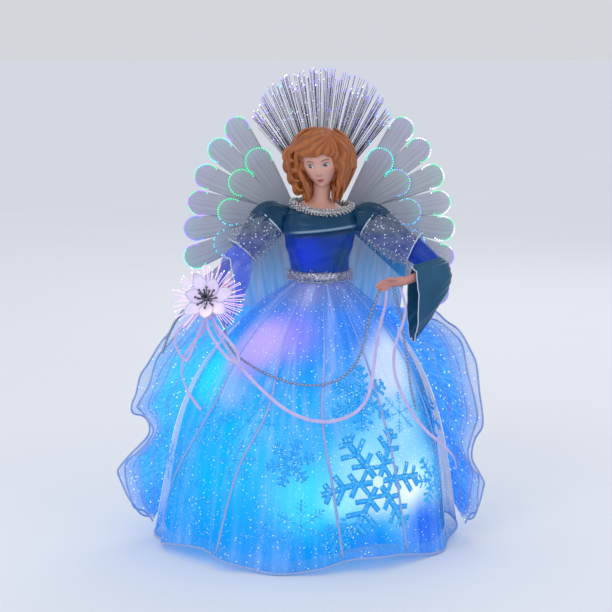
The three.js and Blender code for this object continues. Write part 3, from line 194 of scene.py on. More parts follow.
def strandMesh(name, strands, sides=1, tints=None):
    # strands are lists of (point, radius); round beads are short strands whose radius swells
    curve = bpy.data.curves.new(name, "CURVE")
    curve.dimensions = "3D"
    curve.bevel_depth = metresPerMm
    curve.bevel_resolution = sides
    curve.use_fill_caps = True
    for strand in strands:
        spline = curve.splines.new("POLY")
        spline.points.add(len(strand) - 1)
        flat = [value for point, _ in strand for value in (*(point * metresPerMm), 1.0)]
        spline.points.foreach_set("co", flat)
        spline.points.foreach_set("radius", [radius for _, radius in strand])
    holder = bpy.data.objects.new(name, curve)
    scene.collection.objects.link(holder)
    ready = holder.evaluated_get(bpy.context.evaluated_depsgraph_get())
    mesh = bpy.data.meshes.new_from_object(ready)
    bpy.data.objects.remove(holder)
    bpy.data.curves.remove(curve)
    if tints:
        ringSize = len(mesh.vertices) / sum(len(strand) for strand in strands)
        colours = [tint for strand, tint in zip(strands, tints) for _ in range(round(len(strand) * ringSize))]
        paint = mesh.color_attributes.new("tint", "FLOAT_COLOR", "POINT")
        paint.data.foreach_set("color", np.array(colours, np.float32).ravel())
    return mesh


def bead(centre, radius, axis=upward):  # eight-sided round bead as a short strand
    return [(centre + axis * radius * x, radius * r) for x, r in
            ((-0.99, 0.15), (-0.72, 0.7), (0, 1.0), (0.72, 0.7), (0.99, 0.15))]


def limbRows(stations, rows, isUpright=False):
    # rings across a limb, each a centre, an upward and a sideways axis with their half sizes
    table = [curveAt(stations, k / (rows - 1)) for k in range(rows)]
    centres = [Vector(row[:3]) for row in table]
    rings = []
    for k, (_, _, _, tall, wide) in enumerate(table):
        forward = centres[min(k + 1, rows - 1)] - centres[max(k - 1, 0)]
        if isUpright:
            forward.z = 0
        forward.normalize()
        sideways = upward.cross(forward).normalized()
        rings.append((centres[k], forward.cross(sideways) * tall, sideways * wide))
    return rings


def voxelJoin(bm, size, smoothing, name):  # makes one moulded skin of overlapping shapes
    bmesh.ops.recalc_face_normals(bm, faces=bm.faces)
    mesh = bpy.data.meshes.new(name)
    bm.to_mesh(mesh)
    bm.free()
    holder = bpy.data.objects.new(name, mesh)
    scene.collection.objects.link(holder)
    remesh = holder.modifiers.new("skin", "REMESH")
    remesh.mode = "VOXEL"
    remesh.voxel_size = size
    soften = holder.modifiers.new("soften", "SMOOTH")
    soften.iterations = smoothing
    soften.factor = 0.5
    ready = holder.evaluated_get(bpy.context.evaluated_depsgraph_get())
    joined = bmesh.new()
    joined.from_mesh(ready.to_mesh())
    bpy.data.objects.remove(holder)
    return joined


# Small helpers: materials
def hexColour(text):  # sRGB hex to the linear values that the nodes use
    parts = [int(text[k : k + 2], 16) / 255 for k in (1, 3, 5)]
    return (*(c / 12.92 if c <= 0.04045 else ((c + 0.055) / 1.055) ** 2.4 for c in parts), 1.0)


def addNode(tree, kind, inputs=None, ramp=None, **settings):
    node = tree.nodes.new("ShaderNode" + kind)
    for name, value in settings.items():
        setattr(node, name, value)
    for key, value in (inputs or {}).items():
        if isinstance(value, bpy.types.NodeSocket):
            tree.links.new(value, node.inputs[key])
        else:
            node.inputs[key].default_value = value
    if ramp:
        stops = node.color_ramp.elements
        while len(stops) < len(ramp):
            stops.new(0.5)
        for stop, (position, colour) in zip(stops, ramp):
            stop.position = position
            stop.color = hexColour(colour) if isinstance(colour, str) else (colour,) * 3 + (1.0,)
    return node


def newMaterial(name, **sockets):
    material = bpy.data.materials.new(name)
    material.use_nodes = True
    shader = material.node_tree.nodes["Principled BSDF"]
    for key, value in sockets.items():
        socket = shader.inputs[key.replace("_", " ")]
        socket.default_value = hexColour(value) if isinstance(value, str) else value
    return material, material.node_tree, shader


def mixColours(tree, share, first, second, strength=None):
    if strength is not None:
        share = addNode(tree, "Math", {0: share, 1: strength}, operation="MULTIPLY").outputs[0]
    first, second = (hexColour(tone) if isinstance(tone, str) else tone for tone in (first, second))
    return addNode(tree, "Mix", {0: share, 6: first, 7: second}, data_type="RGBA").outputs[2]


def dressShader(tree, shader, colour=None, glow=None, strength=None, alpha=None):
    # the output of a node is linked, and a hex colour or a number is set
    values = {"Base Color": colour, "Emission Color": glow, "Emission Strength": strength, "Alpha": alpha}
    for name, value in values.items():
        if isinstance(value, bpy.types.NodeSocket):
            tree.links.new(value, shader.inputs[name])
        elif value is not None:
            shader.inputs[name].default_value = hexColour(value) if isinstance(value, str) else value


def objectPlace(tree):
    return addNode(tree, "TexCoord").outputs["Object"]


def between(tree, zeroAt, oneAt, first=0.0, last=1.0, axis=2, kind="LINEAR"):
    # share of the way from one place in millimetres to another, up the height or along another axis
    at = addNode(tree, "SeparateXYZ", {0: objectPlace(tree)}).outputs[axis]
    marks = {0: at, 1: zeroAt * metresPerMm, 2: oneAt * metresPerMm, 3: first, 4: last}
    return addNode(tree, "MapRange", marks, interpolation_type=kind).outputs[0]


def around(tree, centre, zeroAt, oneAt, kind="SMOOTHSTEP"):  # the same between two distances from a place
    ends = {0: objectPlace(tree), 1: Vector(centre) * metresPerMm}
    apart = addNode(tree, "VectorMath", ends, operation="DISTANCE").outputs["Value"]
    marks = {0: apart, 1: zeroAt * metresPerMm, 2: oneAt * metresPerMm}
    return addNode(tree, "MapRange", marks, interpolation_type=kind).outputs[0]


def grain(tree, sizeMm, detail=2.0, stretch=(1, 1, 1)):  # noise whose lumps are about sizeMm across
    place = addNode(tree, "Mapping", {0: objectPlace(tree), 3: stretch}).outputs[0]
    values = {"Vector": place, "Scale": 1000 / sizeMm, "Detail": detail}
    return addNode(tree, "TexNoise", values).outputs["Fac"]


def clothLines(tree, stretch, detail, distortion=0.0):  # noise drawn out along the cloth
    place = addNode(tree, "Mapping", {0: addNode(tree, "UVMap").outputs[0], 3: stretch}).outputs[0]
    values = {"Vector": place, "Scale": 1.0, "Detail": detail, "Distortion": distortion}
    return addNode(tree, "TexNoise", values).outputs["Fac"]


def addBump(tree, shader, height, depthMm, strength=0.5):
    bump = addNode(tree, "Bump", {"Strength": strength, "Distance": depthMm * metresPerMm, "Height": height})
    tree.links.new(bump.outputs[0], shader.inputs["Normal"])


def makeGlitter(tree, spacingMm, speckMm, share):  # 1 on scattered specks, 0 between them
    cells = addNode(tree, "TexVoronoi", {"Vector": objectPlace(tree), "Scale": 1000 / spacingMm})
    edge = speckMm / spacingMm
    speck = addNode(tree, "MapRange", {0: cells.outputs["Distance"], 1: edge, 2: edge * 0.6}).outputs[0]
    chosen = addNode(tree, "SeparateColor", {0: cells.outputs["Color"]}).outputs[0]
    isChosen = addNode(tree, "Math", {0: chosen, 1: 1 - share}, operation="GREATER_THAN").outputs[0]
    return addNode(tree, "Math", {0: speck, 1: isChosen}, operation="MULTIPLY").outputs[0]


# Camera
view = {"place": (-11.5, -1300, 430), "pitchDegrees": 80.1, "lens": 90.2, "sensor": 36}
cameraData = bpy.data.cameras.new("camera")
cameraData.lens = view["lens"]
cameraData.sensor_width = view["sensor"]
camera = bpy.data.objects.new("camera", cameraData)
camera.location = Vector(view["place"]) * metresPerMm
camera.rotation_euler = (math.radians(view["pitchDegrees"]), 0, 0)
scene.collection.objects.link(camera)
scene.camera = camera

# Cords: narrow satin ribbons and strings of silver beads
print("cords")
cordLook = {
    "ribbonWidth": 3.0, "ribbonThickness": 0.35, "beadRadius": 1.42, "beadPitch": 3.1, "threadRadius": 0.3,
    "ribbon": "#d2c8e8", "ribbonShade": "#a9a2d4", "ribbonGlow": "#a993e6", "bead": "#c4ccde",
    "beadWorn": "#5f6880",
}
cordPieces = {
    "bead_swag_right": {"kind": "beads", "ends": ("right_arm", "body"), "length": 0.107, "points": [
        [-84.4, -56, 205.4], [-79.9, -56.6, 199], [-77, -58, 186], [-71, -61, 175], [-60, -65, 167],
        [-48, -73, 161.5], [-36, -80, 157.5], [-25, -84.5, 154.8], [-15, -86, 153.3], [-8.15, -86.5, 152.8]]},
    "bead_swag_left": {"kind": "beads", "ends": ("body", "left_arm"), "length": 0.11, "points": [
        [-7.85, -86.5, 152.8], [0, -86.6, 153.2], [10, -86, 155.5], [20, -82, 160], [28, -75, 167],
        [34, -67, 177], [38, -59, 191], [42, -54, 206], [46, -51, 216], [48.8, -49.5, 223.9]]},
    "ribbon_swag_right": {"kind": "ribbon", "ends": ("right_arm", "body"), "length": 0.125, "points": [
        [-88.8, -55.6, 201.9], [-85.5, -56, 192], [-79, -59, 182], [-71, -64, 170], [-58, -73, 157],
        [-43, -86, 145], [-30, -94, 136], [-18, -97, 130], [-8.15, -98, 126.7]]},
    "ribbon_swag_left": {"kind": "ribbon", "ends": ("body", "left_arm"), "length": 0.15, "points": [
        [-7.85, -98, 126.7], [4, -98, 125.4], [14, -97, 126.6], [24, -94, 129.5], [32, -89, 134],
        [38, -84, 141], [42, -77, 152], [44, -70, 165], [47, -61, 183], [51, -54, 201],
        [54.5, -49.5, 214], [55.5, -47.6, 224.7]]},
    "bead_tail_left": {"kind": "beads", "body": "left_arm", "length": 0.105, "points": [
        [61.3, -46.8, 226.2], [63, -48.5, 218], [66, -51, 208], [69, -52.5, 190], [72, -53, 171],
        [74, -54, 156], [76.5, -56, 140], [80, -59, 127]]},
    "ribbon_tail_left": {"kind": "ribbon", "body": "left_arm", "length": 0.205, "points": [
        [66.5, -45.2, 227], [69, -51, 219], [70.5, -57, 210], [67.5, -59.5, 197], [63, -60, 184],
        [61, -60, 171], [62, -62, 157], [67, -65, 142], [76, -66, 125], [89, -61, 108], [105, -44, 91],
        [116, -24, 74], [119, -14, 62]]},
    "bead_tail_right": {"kind": "beads", "body": "right_arm", "length": 0.066, "points": [
        [-96.9, -53.4, 208.3], [-104, -48, 208.4], [-113, -39, 205], [-121, -33, 196], [-128, -28, 182],
        [-133, -26, 168]]},
    "ribbon_tail_right": {"kind": "ribbon", "body": "right_arm", "length": 0.1, "points": [
        [-92.5, -53.3, 202.4], [-96.5, -51.4, 191], [-106, -49, 180], [-114, -46, 166], [-116, -40, 152],
        [-113, -36, 140], [-106, -46, 131], [-99, -56, 125]]},
    "ribbon_loop_front": {"kind": "ribbon", "body": "right_arm", "length": 0.09, "points": [
        [-88.6, -60.6, 204.3], [-84, -66, 197], [-74, -72, 186], [-67, -76, 176], [-67.5, -77, 170],
        [-74, -76, 172], [-84, -70.5, 183], [-91.5, -66, 195.5], [-92.9, -61, 203.8]]},
    "ribbon_loop_side": {"kind": "ribbon", "body": "right_arm", "length": 0.09, "points": [
        [-98.2, -56.4, 206.6], [-107.5, -55, 200], [-117, -52, 192], [-120.5, -52, 184], [-117, -53, 173],
        [-111, -54, 167], [-106, -54.5, 176], [-100, -55.6, 191], [-95.3, -56, 202.2]]},
}

# Woven polyester satin ribbon: soft shine along the band and faint cross threads
ribbonSatin, tree, shader = newMaterial("satinRibbon", Roughness=0.34, Sheen_Weight=0.3, Sheen_Roughness=0.3)
tone = mixColours(tree, grain(tree, 7.0), cordLook["ribbonShade"], cordLook["ribbon"])
dressShader(tree, shader, tone, cordLook["ribbonGlow"], 0.16)
acrossBand = addNode(tree, "UVMap").outputs[0]
threads = addNode(tree, "TexWave", {"Vector": acrossBand, "Scale": 14.0}, bands_direction="X")
addBump(tree, shader, threads.outputs["Fac"], 0.12)

# Vacuum-plated acrylic beads: bright grey metal, slightly worn where they rub
beadSilver, tree, shader = newMaterial("platedBeads", Metallic=1.0, Roughness=0.24)
dressShader(tree, shader, mixColours(tree, grain(tree, 1.6), cordLook["beadWorn"], cordLook["bead"]))

for name, cord in cordPieces.items():
    path = smoothPath(cord["points"], 0.7)
    if cord["kind"] == "ribbon":
        bm = bmesh.new()
        addSweep(bm, path, cordLook["ribbonWidth"], cordLook["ribbonThickness"], sides=10,
                 facing=lambda point: fromAxis(point) + Vector((0, -0.5, 0.25)))
        cordPiece = finishPiece(name + "_look", bm, ribbonSatin, isClosed=True)
    else:
        marks = evenPath(path, cordLook["beadPitch"])
        strands = [bead(a, cordLook["beadRadius"], (b - a).normalized()) for a, b in zip(marks, marks[1:])]
        strands.append(bead(marks[-1], cordLook["beadRadius"], (marks[-1] - marks[-2]).normalized()))
        strands.append([(point, cordLook["threadRadius"]) for point in marks])
        cordPiece = finishMesh(name + "_look", strandMesh(name, strands, 2), beadSilver)
    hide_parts(name)
    if "ends" in cord:
        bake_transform(cordPiece)
    else:
        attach(cordPiece, cord["body"])
    isTied = "ends" in cord or "loop" in name
    print(name, "runs", round(pathLength(path), 1), "mm")

# Gown: the shape that the CAD gives, with softer and finer folds
print("gown")
gown = {
    "top": 225.7, "waist": 24.05, "hemHalfWidth": 130, "hemFront": 112, "hemBack": 104, "shift": 12,
    "clearance": 1.6, "wave": 11, "waveCount": 5, "wavePhase": 2.4, "liningInset": 3.4, "liningLift": 9,
    "foldDepth": 4.0, "gatherDepth": 0.9,
}


def gownPoint(angle, t, hemLift=0.0):
    spread = 0.8 * (1 - (1 - min(t, 1.0)) ** 3.6) + 0.2 * t**1.5
    hemDepth = gown["hemFront"] if math.sin(angle) < 0 else gown["hemBack"]
    wave = gown["wave"] * (0.5 - 0.5 * math.cos(gown["waveCount"] * angle + gown["wavePhase"]))
    return Vector((
        mix(gown["waist"], gown["hemHalfWidth"], spread) * math.cos(angle) - gown["shift"] * spread,
        mix(gown["waist"], hemDepth, spread) * math.sin(angle),
        gown["top"] - t * (gown["top"] - gown["clearance"] - hemLift - wave),
    ))


def gownNormal(angle, t):
    down = gownPoint(angle, t + 0.01) - gownPoint(angle, max(t - 0.01, 0))
    across = gownPoint(angle + 0.01, t) - gownPoint(angle - 0.01, t)
    return down.cross(across).normalized()


def skirtFold(angle, t):  # how far the organza stands out, in soft folds below and gathers above
    drape = 0.5 * math.cos(12 * angle) + 0.38 * math.cos(7 * angle + 0.9) + 0.26 * math.cos(19 * angle + 2.2)
    wander = noise.noise(Vector((3 * math.cos(angle), 3 * math.sin(angle), 2.2 * t)))
    gathers = math.sin(44 * angle + 2.5 * math.sin(3 * angle)) * (1 - t) ** 2.4 * ease(t, 0, 0.08)
    return gown["foldDepth"] * t * (drape + 0.7 * wander) + gown["gatherDepth"] * gathers


def skirtPoint(angle, t, out=0.0):
    outward = Vector((math.cos(angle) * gown["hemHalfWidth"], math.sin(angle) * gown["hemFront"], 0))
    fold = outward.normalized() * skirtFold(angle, t)
    return gownPoint(angle, t) + fold + gownNormal(angle, max(t, 0.04)) * out


def liningPoint(angle, t):
    inset = gown["liningInset"] + 3.4 * t + 0.8 * t * math.cos(9 * angle + 0.5)
    outward = Vector((math.cos(angle), math.sin(angle), 0))
    normal = gownNormal(angle, t) if t > 0.02 else outward
    return gownPoint(angle, t, gown["liningLift"]) - normal * inset


# The light inside the gown, as a colour down its height and pools of light: place, radius, colour
gownLight = {
    "height": [(0.0, "#0478cc"), (0.07, "#0390ea"), (0.3, "#03aef8"), (0.6, "#0ca6f8"), (0.74, "#2090f2"),
               (0.87, "#2f84e6"), (1.0, "#5b6cb0")],
    "pools": [
        ((96, -10, 110), 62, "#0468bf"), ((118, -20, 40), 70, "#055aae"), ((108, 10, 150), 60, "#0a4f92"),
        ((-96, -34, 154), 46, "#12d4f0"), ((-60, -52, 168), 30, "#a29cf4"),
        ((-70, -62, 140), 22, "#74aef2"), ((-124, -30, 70), 50, "#0b95e0"),
        ((-14, -38, 226), 26, "#8c8cc6"), ((20, -40, 218), 20, "#4c6cb4"),
        ((-25, -56, 190), 38, "#7f80ee"), ((-48, -52, 184), 34, "#b9a6f6"),
        ((58, -46, 176), 38, "#d4e6fc"), ((30, -45, 190), 36, "#2a7de6"), ((-60, -88, 100), 42, "#08b4f4"),
        ((-10, -104, 62), 44, "#3fd2fb"), ((20, -104, 60), 28, "#8fe6ff"), ((61, -55, 155), 46, "#c4d9f6"),
        ((40, -92, 84), 50, "#8fdcff"), ((82, -66, 62), 56, "#a6e6ff"), ((78, -72, 62), 28, "#eefaff"),
        ((66, -66, 112), 44, "#8fd0f6"), ((50, -90, 67), 32, "#d2eeff"), ((88, -60, 26), 38, "#0c66e6"),
        ((40, -96, 14), 28, "#0a7ee6"), ((14, -92, 128), 30, "#2aa6f0"), ((0, 96, 120), 70, "#38bdf6"),
        ((60, 84, 70), 46, "#8fdcff"), ((-70, 80, 70), 50, "#1ca8f2"),
    ],
}


def lightColour(tree):
    share = between(tree, 0, gown["top"])
    colour = addNode(tree, "ValToRGB", {0: share}, ramp=gownLight["height"]).outputs[0]
    for centre, radius, tint in gownLight["pools"]:
        colour = mixColours(tree, around(tree, centre, radius, 0.15 * radius), colour, tint)
    return colour


# Brushed polyester lining, lit from inside: an even glow with soft pools where the lamps are
liningCloth, tree, shader = newMaterial("brushedLining", Roughness=0.8, Specular_IOR_Level=0.1)
colour = lightColour(tree)
deep = addNode(tree, "HueSaturation", {"Value": 0.2, "Color": colour}).outputs[0]
dressShader(tree, shader, deep, colour, 0.95)
addBump(tree, shader, grain(tree, 1.2), 0.15)

# Glitter organza: sheer crisp nylon, paler along its gathers where the cloth lies denser and a painted
# highlight falls, with silver specks that catch the light
glitterOrganza, tree, shader = newMaterial("glitterOrganza", Roughness=0.42, Specular_IOR_Level=0.15)
gatherLines = clothLines(tree, (90, 1.6, 1), 3.0)
streak = addNode(tree, "MapRange", {0: gatherLines, 1: 0.42, 2: 0.68}).outputs[0]
# Its colour is painted light from inside the gown, and it glows in that colour; the pale streaks along the
# gathers are partly painted highlight
pale = mixColours(tree, streak, lightColour(tree), "#a9c8f6", 0.24)
# Where two layers cross, the cloth looks denser along a sharp line
crossing = [(0.5, 0.0), (0.53, 0.55), (0.545, 1.0), (0.57, 0.4), (0.66, 0.1)]
doubled = addNode(tree, "ValToRGB", {0: clothLines(tree, (10, 0.75, 1), 4.0, 0.6)}, ramp=crossing).outputs[0]
upper = between(tree, 50, 160, 0.12, 1.0)
doubled = addNode(tree, "Math", {0: doubled, 1: upper}, operation="MULTIPLY").outputs[0]
pale = mixColours(tree, doubled, pale, "#b4bcf4", 0.55)
specks = addNode(tree, "Math", {0: makeGlitter(tree, 3.1, 0.62, 0.42), 1: makeGlitter(tree, 1.7, 0.34, 0.3)},
                 operation="MAXIMUM").outputs[0]
withSpecks = mixColours(tree, specks, pale, "#eaf4ff")
veil = addNode(tree, "MapRange", {0: streak, 1: 0.0, 2: 1.0, 3: 0.26, 4: 0.5}).outputs[0]
veil = addNode(tree, "Math", {0: doubled, 1: 0.3, 2: veil}, operation="MULTIPLY_ADD").outputs[0]
hemShare = between(tree, 30, 8, 0.0, 0.42)
veil = addNode(tree, "Math", {0: veil, 1: hemShare}, operation="ADD").outputs[0]
veil = addNode(tree, "Math", {0: veil, 1: specks}, operation="MAXIMUM").outputs[0]
dressShader(tree, shader, withSpecks, withSpecks, 0.3, veil)
addBump(tree, shader, gatherLines, 0.6, 0.35)

bm = bmesh.new()
addGrid(bm, 220, 60, lambda u, v: liningPoint(fullTurn * u, v), isRound=True)
lining = finishPiece("gownLining", bm, liningCloth, "body", ["skirt_lining"], isClosed=True)

bm = bmesh.new()
addGrid(bm, 400, 90, lambda u, v: skirtPoint(fullTurn * u, v), isRound=True)
overskirt = finishPiece("gownOrganza", bm, glitterOrganza, "body", ["overskirt"],
                        isClosed=True)

# Wired edges and seams: thin wire wound in silver thread, shiny and a little rough
wireLook = {"hemWidth": 2.0, "seamWidth": 2.3, "colour": "#a6b8e4", "shade": "#6f86ac", "glow": "#7f9fe6"}
woundWire, tree, shader = newMaterial("silverWoundWire", Roughness=0.4, Metallic=0.35)
twist = grain(tree, 1.4, 1.0)
tone = mixColours(tree, twist, wireLook["shade"], wireLook["colour"])
dressShader(tree, shader, tone, wireLook["glow"], 0.18)
addBump(tree, shader, twist, 0.3)

seams = [  # angle in degrees and share of the gown's height, along each seam
    [(246, 0.02), (250, 0.2), (251, 0.41), (242, 0.65), (236, 0.985)],
    [(226, 0.02), (223, 0.25), (221, 0.45), (208, 0.71), (196, 0.97)],
    [(276, 0.02), (277, 0.2), (276, 0.46), (280, 0.7), (284, 0.985)],
    [(299, 0.02), (301, 0.2), (303, 0.39), (307, 0.67), (311, 0.985)],
    [(330, 0.02), (335, 0.3), (338, 0.6), (341, 0.97)],
    [(40, 0.02), (42, 0.4), (40, 0.98)], [(90, 0.02), (92, 0.5), (90, 0.98)],
    [(140, 0.02), (138, 0.45), (141, 0.98)],
]
bm = bmesh.new()
for seam in seams:
    marks = [curveAt(seam, k / 39) for k in range(40)]
    addSweep(bm, [skirtPoint(math.radians(a), t, 0.5) for a, t in marks],
             lambda share: mix(0.5, wireLook["seamWidth"], ease(share, 0.05, 0.5)), 0.8, sides=8)
hemLine = [skirtPoint(fullTurn * k / 300, 1.0) for k in range(301)]
addSweep(bm, hemLine, wireLook["hemWidth"], sides=6)
finishPiece("gownWires", bm, woundWire, "body", isClosed=True)

# Snowflakes: printed in silver glitter on the organza, two plain kinds
print("snowflakes")
flakeLook = {"thick": 0.35, "lift": 0.55, "blue": "#0a7fd4", "silver": "#3fb4ee"}
flakes = [  # angle in degrees, share of height, size in mm, kind, turn in degrees
    (217, 0.83, 24, "fine", 8), (221, 0.52, 21, "fine", 20), (243, 0.47, 21, "fine", 0),
    (315, 0.46, 17, "fine", 14), (298, 0.71, 46, "block", 4), (295, 0.40, 27, "block", 24),
    (263, 0.6, 20, "block", 12), (268, 0.83, 21, "fine", 30), (240, 0.62, 17, "fine", 14),
    (330, 0.72, 22, "block", 0), (282, 0.90, 16, "block", 10), (252, 0.88, 14, "fine", 5),
    (345, 0.5, 20, "fine", 0), (20, 0.6, 26, "block", 10), (60, 0.78, 22, "fine", 0),
    (75, 0.5, 20, "fine", 15), (105, 0.72, 34, "block", 0), (135, 0.5, 18, "fine", 12),
    (158, 0.75, 24, "block", 20), (185, 0.7, 17, "fine", 6),
]


def flakeStrokes(kind, size):  # strokes as lists of points on a flat card, with their width
    strokes = []
    for arm in range(6):
        turn = Matrix.Rotation(arm * math.pi / 3, 2)
        if kind == "fine":
            lines = [([(0, 0), (1, 0)], 0.8), ([(0.97, 0), (1.04, 0)], 2.0), ([(0.72, 0), (0.78, 0)], 1.7)]
            for along, reach in ((0.45, 0.2), (0.64, 0.24), (0.82, 0.16)):
                for side in (-1, 1):
                    lines.append(([(along, 0), (along + reach * 0.7, side * reach)], 0.6))
        else:
            lines = [([(0.1, 0), (1, 0)], 0.115 * size)]
            for along, reach in ((0.36, 0.24), (0.6, 0.3), (0.84, 0.2)):
                for side in (-1, 1):
                    lines.append(([(along, 0), (along + reach * 0.5, side * reach * 0.87)], 0.1 * size))
            lines.append(([(0.3, 0), (0.3 * 0.5, 0.3 * 0.87)], 0.09 * size))
        for points, width in lines:
            strokes.append(([turn @ Vector(point) * size for point in points], width))
    return strokes


# Glitter print: glue dots with silver flakes, rough and sparkling; it glows in its own colour, painted light
# from the lit gown, and its white flakes glow as painted glints
glitterPrint, tree, shader = newMaterial("blueGlitterPrint", Roughness=0.4, Metallic=0.3)
tone = mixColours(tree, grain(tree, 2.5), flakeLook["blue"], flakeLook["silver"])
tone = mixColours(tree, makeGlitter(tree, 1.5, 0.45, 0.3), tone, "#ffffff")
dressShader(tree, shader, tone, tone, 0.42)
addBump(tree, shader, grain(tree, 0.9), 0.3, 0.8)

bm = bmesh.new()
for degrees, t, size, kind, turnDegrees in flakes:
    angle = math.radians(degrees)
    across = (gownPoint(angle + 0.01, t) - gownPoint(angle - 0.01, t)).length / 0.02
    down = (gownPoint(angle, t + 0.01) - gownPoint(angle, t - 0.01)).length / 0.02
    cardTurn = Matrix.Rotation(math.radians(turnDegrees), 2)
    for points, width in flakeStrokes(kind, size):
        a, b = (cardTurn @ point for point in points)
        steps = max(3, round((b - a).length / 2.5))
        path = []
        for k in range(steps + 1):
            spot = a.lerp(b, k / steps)
            path.append(skirtPoint(angle + spot.x / across, min(t - spot.y / down, 0.99), flakeLook["lift"]))
        addSweep(bm, path, width, flakeLook["thick"], sides=4)
finishPiece("snowflakePrint", bm, glitterPrint, "body", isClosed=True)

# Side ruffles: two wired layers of organza on each side of the gown
print("ruffles")
ruffle = {
    "wave": 8.0, "waveCount": 4, "loop": 1.2, "setback": 5, "rootTop": 0.1, "rootBottom": 0.92,
    "left": [(0.72, 0.886), (0.93, 0.81), (1.05, 0.64), (1.09, 0.47), (1.03, 0.33), (1.1, 0.22),
             (1.09, 0.13), (1, 0.05)],
    "right": [(0.88, 0.886), (1.06, 0.76), (1.2, 0.6), (1.25, 0.51), (1.14, 0.42), (1.34, 0.27), (1.29, 0.15),
              (1.13, 0.06)],
    "layers": [(1.0, 0.0, 0.0), (0.86, -7.0, 1.6)],  # reach share, how far forward, wave phase
}
# The same glitter organza in one or two layers: it shows what lies behind and pales at its folds, where the
# cloth lies denser and a painted highlight falls
ruffleOrganza, tree, shader = newMaterial("ruffleOrganza", Roughness=0.4, Specular_IOR_Level=0.2)
streak = addNode(tree, "MapRange", {0: clothLines(tree, (7, 60, 1), 2.0), 1: 0.4, 2: 0.7}).outputs[0]
specks = makeGlitter(tree, 3.4, 0.75, 0.5)
# Its colour down its height is painted light from the lit gown, and it glows in that colour
ruffleRamp = [(0, "#0670d8"), (0.3, "#059cf4"), (0.7, "#10b4f0"), (1, "#3f94e0")]
tone = addNode(tree, "ValToRGB", {0: between(tree, 0, 210)}, ramp=ruffleRamp).outputs[0]
# Painted shade: a deeper blue on the doll's left side
tone = mixColours(tree, between(tree, 0, 20, 0.0, 0.65, axis=0), tone, "#0a62d8")
outward = addNode(tree, "SeparateXYZ", {0: addNode(tree, "UVMap").outputs[0]}).outputs[0]
edgeShare = {0: outward, 1: 0.45, 2: 0.9}
edgeShare = addNode(tree, "MapRange", edgeShare, interpolation_type="SMOOTHSTEP").outputs[0]
tone = mixColours(tree, edgeShare, tone, "#4f7fc0", 0.8)
tone = mixColours(tree, streak, tone, "#7fc0f4", 0.45)
tone = mixColours(tree, specks, tone, "#f0f8ff")
veil = addNode(tree, "MapRange", {0: streak, 3: 0.42, 4: 0.66}).outputs[0]
solid = addNode(tree, "MapRange", {0: edgeShare, 3: 0.34, 4: -0.08}).outputs[0]
veil = addNode(tree, "Math", {0: veil, 1: solid}, operation="ADD").outputs[0]
veil = addNode(tree, "Math", {0: veil, 1: specks}, operation="MAXIMUM").outputs[0]
dressShader(tree, shader, tone, tone, 0.55, veil)


def rufflePoint(side, edge, layer, s, v):
    reach, forward, phase = layer
    root = skirtPoint(0.0 if side > 0 else math.pi, mix(ruffle["rootTop"], ruffle["rootBottom"], s), 0.6)
    tipX, tipZ = curveAt(edge, s)
    tip = Vector((side * tipX * gown["hemHalfWidth"], 0, tipZ * gown["top"]))
    tip.x = mix(root.x, tip.x, reach)
    swing = fullTurn * ruffle["waveCount"] * s + phase
    at = root.lerp(tip, v)
    at.y = -ruffle["setback"] + forward * v + ruffle["wave"] * v**1.4 * math.sin(swing + 0.8 * v)
    at.z += ruffle["loop"] * v**2 * math.sin(2 * swing + 0.6)
    at.x += side * 1.6 * v * math.cos(swing)
    return at


for side, name, edge in ((1, "left", ruffle["left"]), (-1, "right", ruffle["right"])):
    bm = bmesh.new()
    wires = bmesh.new()
    for layer in ruffle["layers"]:
        addGrid(bm, 14, 150, lambda u, v: rufflePoint(side, edge, layer, v, u))
        addSweep(wires, [rufflePoint(side, edge, layer, k / 149, 1.0) for k in range(150)], 1.7, sides=6)
        for v in (0.34, 0.68):
            addSweep(wires, [rufflePoint(side, edge, layer, k / 149, v) for k in range(150)], 0.9, sides=5)
    piece = finishPiece(name + "Ruffle", bm, ruffleOrganza, "body", ["ruffle_" + name])
    finishPiece(name + "RuffleWires", wires, woundWire, "body", isClosed=True)

# Bodice: satin drawn over the torso, with a crease across the bust
print("bodice")
torso = {
    "bottom": 226.3, "height": 64, "halfWidth": 31, "halfDepth": 23, "satinOut": 2.0,
    "shares": [  # shares of the height, the half width and the half depth
        (0, 0.71, 0.89), (0.21, 0.74, 0.89), (0.56, 0.9, 1), (0.75, 1, 0.957), (0.9, 0.935, 0.74),
        (1, 0.52, 0.52)],
}


def torsoAt(height):  # half width and half depth of the torso at a height
    share = (height - torso["bottom"]) / torso["height"]
    rows = torso["shares"]
    for (s1, w1, d1), (s2, w2, d2) in zip(rows, rows[1:]):
        if share <= s2:
            t = ease(share, s1, s2)
            return mix(w1, w2, t) * torso["halfWidth"], mix(d1, d2, t) * torso["halfDepth"]
    return rows[-1][1] * torso["halfWidth"], rows[-1][2] * torso["halfDepth"]


def bodicePoint(u, v):
    angle = fullTurn * u
    height = mix(torso["bottom"] + 1.5, torso["bottom"] + torso["height"] * 0.955, v)
    halfWidth, halfDepth = torsoAt(height)
    out = torso["satinOut"]
    x = math.cos(angle) * (halfWidth + out)
    isFront = clamp(-math.sin(angle) * 1.6)
    crease = 269.8 + 0.1 * x
    out += isFront * (1.9 * hill(height, crease + 1.2, 1.7) - 0.9 * hill(height, crease - 1.6, 1.2))
    out += isFront * 0.7 * hill(height, 248 + 0.25 * x, 3) * math.cos(0.09 * x)
    wrinkle = noise.noise(Vector((0.05 * x + 0.02 * height, math.sin(angle), 0.16 * height - 0.05 * x)))
    out += 0.9 * wrinkle + 0.5 * math.sin(26 * angle) * hill(height, torso["bottom"], 14)
    return Vector((math.cos(angle) * (halfWidth + out), math.sin(angle) * (halfDepth + out), height))


